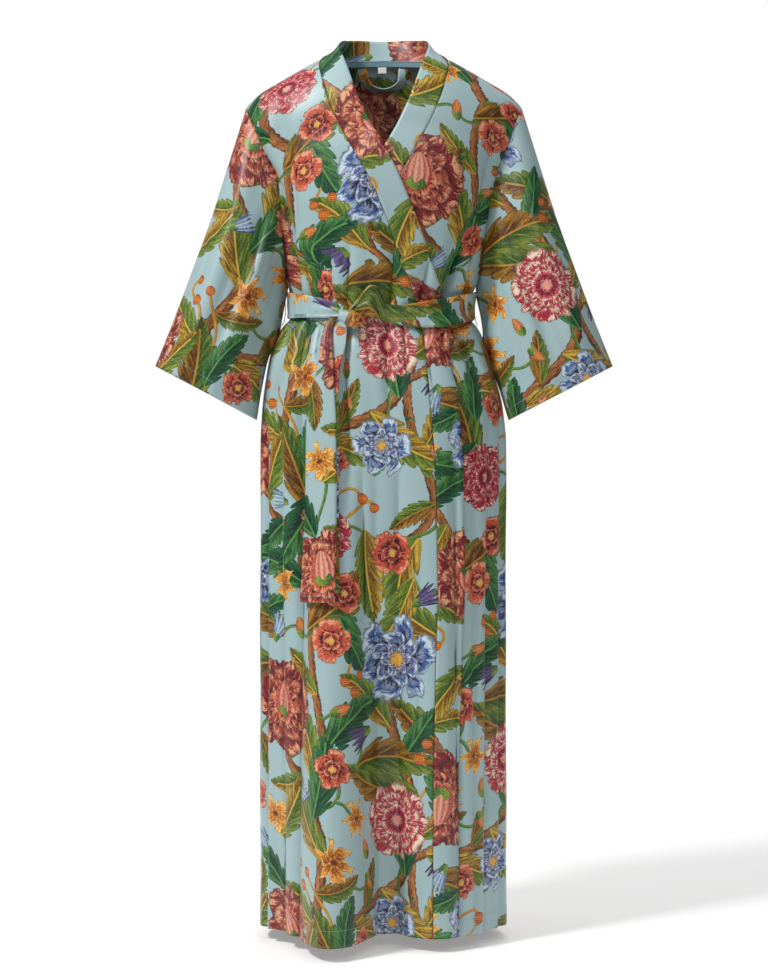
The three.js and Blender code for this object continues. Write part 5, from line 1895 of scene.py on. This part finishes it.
@dataclass
class NeckFinish:
    """The tape, the loop to hang the robe by, and the label, inside the back neck."""

    tape_half: float = 59.0
    tape_height: float = 10.0
    tape_inside: float = 4.8
    tape_thick: float = 1.0
    loop_width: float = 15.0
    loop_thick: float = 1.4

    def neck(self, across: Array, height: Array) -> Array:
        """Points inside the back neck seam, by place across and height over the seam."""
        share = np.linspace(-NECK_SHARE, NECK_SHARE, 801)
        seam = CLOTH_BODY.back(share, back_neck_down(share))
        order = np.argsort(seam[:, 0])
        y = np.interp(across, seam[order, 0], seam[order, 1])
        z = np.interp(across, seam[order, 0], seam[order, 2])
        return np.stack(np.broadcast_arrays(across, y - self.tape_inside, z + height), axis=-1)

    def tape(self) -> Wall:
        """The tape over the neck seam."""
        half = self.tape_height / 2
        return Wall(self.neck, np.linspace(-self.tape_half, self.tape_half, 60), np.linspace(-half, half, 6),
                    level, thick=self.tape_thick, turned=1, step=(0.5, 0.5))

    def label(self) -> Wall:
        """The blank label under the tape."""
        def surface(across: Array, height: Array) -> Array:
            back = np.stack(np.broadcast_arrays(0 * across, 1.1 - height * 0.06, 0 * across), axis=-1)
            return self.neck(across, height) - back

        return Wall(surface, np.linspace(-9, 4, 12), np.linspace(-15, -5.4, 9), level, thick=0.6, turned=1,
                    step=(0.5, 0.5))

    def loop(self) -> tuple[Array, Array, Array]:
        """Points, quads and flat coordinates of the hanging loop."""
        inside = float(self.neck(np.array(0.0), np.array(0.0))[1]) - 3.2
        rows = ((-33.5, -0.4, -0.5), (-30, -16, 0.6), (-19, -29.5, 3), (-1, -35, 5), (15, -31, 4),
                (27, -19, 1.5), (30, -0.4, -0.5))
        control = np.array([(x, inside - y, z) for x, z, y in rows])
        path = smooth_path(control, 90)
        tangent = np.gradient(path, axis=0)
        tangent /= np.linalg.norm(tangent, axis=1, keepdims=True)
        share = np.linspace(0, 1, len(path))
        turn = np.radians(72 * np.sin(np.pi * share))
        flat = np.cross(np.array([0.0, 1.0, 0.0]), tangent)
        flat /= np.linalg.norm(flat, axis=1, keepdims=True)
        across = flat * np.cos(turn)[:, None] + np.cross(tangent, flat) * np.sin(turn)[:, None]
        through = np.cross(across, tangent)
        w = np.linspace(-0.5, 0.5, 9)
        section = np.concatenate([np.stack([w, np.full(9, -0.5)], 1),
                                  np.stack([w[::-1], np.full(9, 0.5)], 1)])
        rings = (path[:, None] + across[:, None] * section[None, :, :1] * self.loop_width
                 + through[:, None] * section[None, :, 1:] * self.loop_thick)
        faces = tube_faces(np.arange(rings.shape[0] * rings.shape[1]).reshape(rings.shape[:2]))
        length = np.concatenate([[0], np.cumsum(np.linalg.norm(np.diff(path, axis=0), axis=1))])
        width = section[None, :, 0] * self.loop_width
        flats = np.stack(np.broadcast_arrays(width, -length[:, None]), axis=-1)
        return rings.reshape(-1, 3) * MM, faces, flats.reshape(-1, 2)[faces] * MM

    def make(self, finishes: Finishes) -> dict[str, bpy.types.Object]:
        """Builds and dresses the three pieces."""
        made = {}
        for node, wall, slot in (("neck_tape", self.tape(), Slot.TAPE),
                                 ("neck_label", self.label(), Slot.LABEL)):
            made[node] = wall.build("robe_" + node, (0.0, 0.0))
            finishes.dress(made[node], slot)
        made["hanging_loop"] = make_piece("robe_hanging_loop", *self.loop(), (0.28, 0.40))
        finishes.dress(made["hanging_loop"], Slot.CLOTH)
        for node, piece in made.items():
            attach(piece, BODY)
            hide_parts(node)
            log.info("%s: %d faces", piece.name, len(piece.data.polygons))
        return made


def smooth_path(control: Array, count: int) -> Array:
    """Points along a smooth curve through control points."""
    place = np.concatenate([[0], np.cumsum(np.linalg.norm(np.diff(control, axis=0), axis=1))])
    table = Table("at x y z", np.column_stack([place, control]))
    at = np.linspace(0, place[-1], count)
    return np.stack([table.at(axis, at) for axis in "xyz"], axis=-1)


@dataclass
class ThreadLoops:
    """The braided thread loops at the side seams, which hold the sash."""

    radius: float = 0.62
    strands: int = 2
    twists: int = 16
    spread: float = 0.55  # of a strand from the middle line, as a share of the radius
    thickness: float = 0.62  # of a strand, as a share of the radius
    sides: int = 8
    route: tuple[tuple[float, float], ...] = (  # length down the cloth, and distance from it
        (381, 2.2), (386, 3.6), (391, 6.4), (396, 7.6), (408, 8.5), (420, 8.6), (430, 8.4), (437, 6.8),
        (443, 2.5))

    def path(self, side: int) -> Array:
        """The loop's middle line."""
        points = []
        for down, out in self.route:
            p = CLOTH_BODY.point(np.array(side * 90.0), np.array(float(down)), 0)
            points.append(p + np.array([side * (CLOTH + out), 0, 0]))
        return smooth_path(np.array(points), 120)

    def make(self, finishes: Finishes) -> list[bpy.types.Object]:
        """Builds both loops as twisted strands."""
        made = []
        for side, name in ((-1, "right"), (1, "left")):
            path = self.path(side)
            points, faces = [], []
            tangent = np.gradient(path, axis=0)
            tangent /= np.linalg.norm(tangent, axis=1, keepdims=True)
            first = np.cross(tangent, np.array([0.0, 1.0, 0.0]))
            first /= np.linalg.norm(first, axis=1, keepdims=True)
            second = np.cross(tangent, first)
            spin = np.linspace(0, 2 * np.pi * self.twists, len(path))
            ring = np.linspace(0, 2 * np.pi, self.sides, endpoint=False)
            for strand in range(self.strands):
                phase = spin + 2 * np.pi * strand / self.strands
                away = first * np.cos(phase)[:, None] + second * np.sin(phase)[:, None]
                middle = path + self.radius * self.spread * away
                around = (first[:, None] * np.cos(ring)[None, :, None]
                          + second[:, None] * np.sin(ring)[None, :, None])
                rings = middle[:, None] + self.radius * self.thickness * around
                size = len(path) * self.sides
                index = np.arange(size).reshape(len(path), self.sides) + len(points) * size
                faces.append(tube_faces(index))
                points.append(rings.reshape(-1, 3))
            quads = np.concatenate(faces)
            piece = make_piece(f"robe_sash_loop_{name}", np.concatenate(points) * MM, quads,
                               np.zeros((len(quads), 4, 2)), (0.0, 0.0))
            finishes.dress(piece, Slot.THREAD)
            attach(piece, BODY)
            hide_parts(f"sash_loop_{name}")
            made.append(piece)
        return made


@dataclass
class Studio:
    """A plain pale floor, soft light and the camera."""

    distance: float = 3.0
    height: float = -0.64125
    lens: float = 73.53
    floor_low: float = 0.02
    floor_radius: float = 2.2
    floor_glow: float = 0.26
    ambient: float = 0.17
    lamps: tuple[tuple[str, tuple[float, float, float], float, float], ...] = (
        ("key", (-2.1, -1.6, 2.1), 0.6, 106.0),
        ("fill", (0.9, -3.0, 1.5), 1.0, 18.0),
        ("top", (0.5, 0.2, 2.3), 1.2, 26.0),
        ("back", (0.3, 2.9, 0.3), 1.4, 30.0),
    )

    def camera(self) -> bpy.types.Object:
        """The camera, level with the middle of the robe."""
        data = bpy.data.cameras.new("camera")
        data.lens = self.lens
        data.sensor_fit = "AUTO"
        data.sensor_width = 36.0
        data.clip_end = 50.0
        camera = bpy.data.objects.new("camera", data)
        camera.location = (0.0, -self.distance, self.height)
        camera.rotation_euler = (math.radians(90), 0, 0)
        bpy.context.scene.collection.objects.link(camera)
        bpy.context.scene.camera = camera
        return camera

    def light(self, name: str, place: tuple[float, float, float], size: float, power: float) -> None:
        """An area light that faces the robe's middle. Only those in front give the cloth its sheen."""
        data = bpy.data.lights.new(name, "AREA")
        data.shape = "SQUARE"
        data.size = size
        data.energy = power
        lamp = bpy.data.objects.new(name, data)
        lamp.location = place
        in_front = place[1] < 0
        lamp.visible_glossy = in_front
        aim = Vector((0, 0, self.height)) - Vector(place)
        lamp.rotation_euler = aim.to_track_quat("-Z", "Y").to_euler()
        bpy.context.scene.collection.objects.link(lamp)

    def surroundings(self) -> None:
        """White surroundings to look at, which light the robe less than they show."""
        world = bpy.data.worlds.new("pale_surroundings")
        world.use_nodes = True
        tree = world.node_tree
        background = tree.nodes["Background"]
        background.inputs["Color"].default_value = (1.0, 1.0, 1.0, 1.0)
        path = tree.nodes.new("ShaderNodeLightPath")
        strength = tree.nodes.new("ShaderNodeMapRange")
        strength.inputs["To Min"].default_value = self.ambient
        strength.inputs["To Max"].default_value = 1.0
        tree.links.new(path.outputs["Is Camera Ray"], strength.inputs["Value"])
        tree.links.new(strength.outputs[0], background.inputs["Strength"])
        bpy.context.scene.world = world

    def build(self, low: float) -> None:
        """Builds the floor, the lights, the pale surroundings and the camera."""
        mesh = bpy.data.meshes.new("floor")
        z = low - self.floor_low
        turns = np.linspace(0, 2 * np.pi, 128, endpoint=False)
        rim = [(self.floor_radius * math.cos(a), self.floor_radius * math.sin(a), z) for a in turns]
        mesh.from_pydata(rim, [], [tuple(range(len(rim)))])
        floor = bpy.data.objects.new("floor", mesh)
        bpy.context.scene.collection.objects.link(floor)
        maker = Nodes("pale_floor")
        place = maker.node("ShaderNodeTexCoord").outputs["Object"]
        colour = maker.blend((0.93, 0.93, 0.93), (0.95, 0.95, 0.95), maker.noise(place, 1.5))
        shader = maker.node("ShaderNodeBsdfPrincipled", None, {
            "Base Color": colour, "Roughness": 0.9, "Specular IOR Level": 0.0,
            "Emission Color": (1.0, 1.0, 1.0, 1.0), "Emission Strength": self.floor_glow})
        maker.node("ShaderNodeOutputMaterial", None, {0: shader.outputs[0]})
        mesh.materials.append(maker.material)
        floor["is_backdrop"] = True
        self.surroundings()
        for name, place, size, power in self.lamps:
            self.light(name, place, size, power)
        self.camera()
        bpy.context.scene.view_settings.view_transform = "Standard"


class Stitching:
    """The rows of stitches that show, each on its own piece of cloth."""

    TAPE_ROW = 3.9  # distance of a row of stitches from the tape's middle, in millimetres
    TAPE_HALF = 57.0  # half the length of such a row
    TAPE_THREAD = 0.00042  # radius of the tape's thread, in metres
    PROUD = 0.12  # how far the tape's stitches stand off it

    def __init__(self, sewing: Sewing, material: bpy.types.Material, dark: bpy.types.Material) -> None:
        """Keeps the stitch sizes, the robe's thread and the darker one of the neck tape."""
        self.sewing = sewing
        self.material = material
        self.dark = dark

    def hems(self, walls: dict[str, Wall]) -> bpy.types.Object:
        """The stitched hems of the skirt, the cuffs and the sash ends."""
        hem = HEM_DOWN - HEM_FOLD
        paths = []
        for name in ("front_right", "front_left"):
            paths.append(line_on(walls[name], np.linspace(0.004, 0.996, 220), hem))
        paths.append(line_on(walls["back"], np.linspace(-0.997, 0.997, 320), hem))
        for name in ("sleeve_right", "sleeve_left"):
            paths.append(line_on(walls[name], np.linspace(0, 359, 200), 0.945))
        for name in ("sash_end_front", "sash_end_back"):
            last = float(walls[name].vs[-1]) - 9.0
            paths.append(line_on(walls[name], np.linspace(-0.46, 0.46, 30), last))
        return self.sewing.sew("hem_stitches", paths, self.material)

    def neck(self, tape: Wall) -> bpy.types.Object:
        """The two rows of stitches along the neck tape, on the side that shows."""
        inside = np.linspace(-self.TAPE_HALF, self.TAPE_HALF, 80)
        paths = []
        for height in (-self.TAPE_ROW, self.TAPE_ROW):
            points = tape.surface(inside, np.full(inside.shape, height))
            normal = tape.normals(inside, np.full(inside.shape, height))
            towards = np.where(normal[:, 1:2] > 0, -normal * self.PROUD, normal * (tape.thick + self.PROUD))
            paths.append((points + towards) * MM)
        return replace(self.sewing, thread=self.TAPE_THREAD).sew("tape_stitches", paths, self.dark)


def write_sizes(before: Sequence, after: Sequence) -> None:
    """Puts the frame's box and the finished box side by side in a dict, which is not kept."""
    plain = lambda box: [[float(v) for v in corner] for corner in box]
    {"cad": plain(before), "visual": plain(after)}


def main() -> None:
    """Builds the robe, its sewing and the studio."""
    logging.basicConfig(level=logging.INFO, format="%(name)s: %(message)s")
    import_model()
    frame_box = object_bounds()
    finishes = Finishes()
    cut = Bodice().pieces() + Collar().pieces() + SashTie().pieces()
    for piece in cut:
        piece.make(finishes)
    walls = {piece.node: piece.wall for piece in cut}
    SashTie().knot(finishes)
    neck = NeckFinish()
    neck.make(finishes)
    ThreadLoops().make(finishes)
    stitching = Stitching(Sewing(), finishes.stitch, finishes.by_slot[Slot.THREAD])
    stitching.hems(walls)
    stitching.neck(neck.tape())
    Studio().build(float(frame_box[0][2]))
    write_sizes(frame_box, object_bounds())


if __name__ == "__main__":
    main()
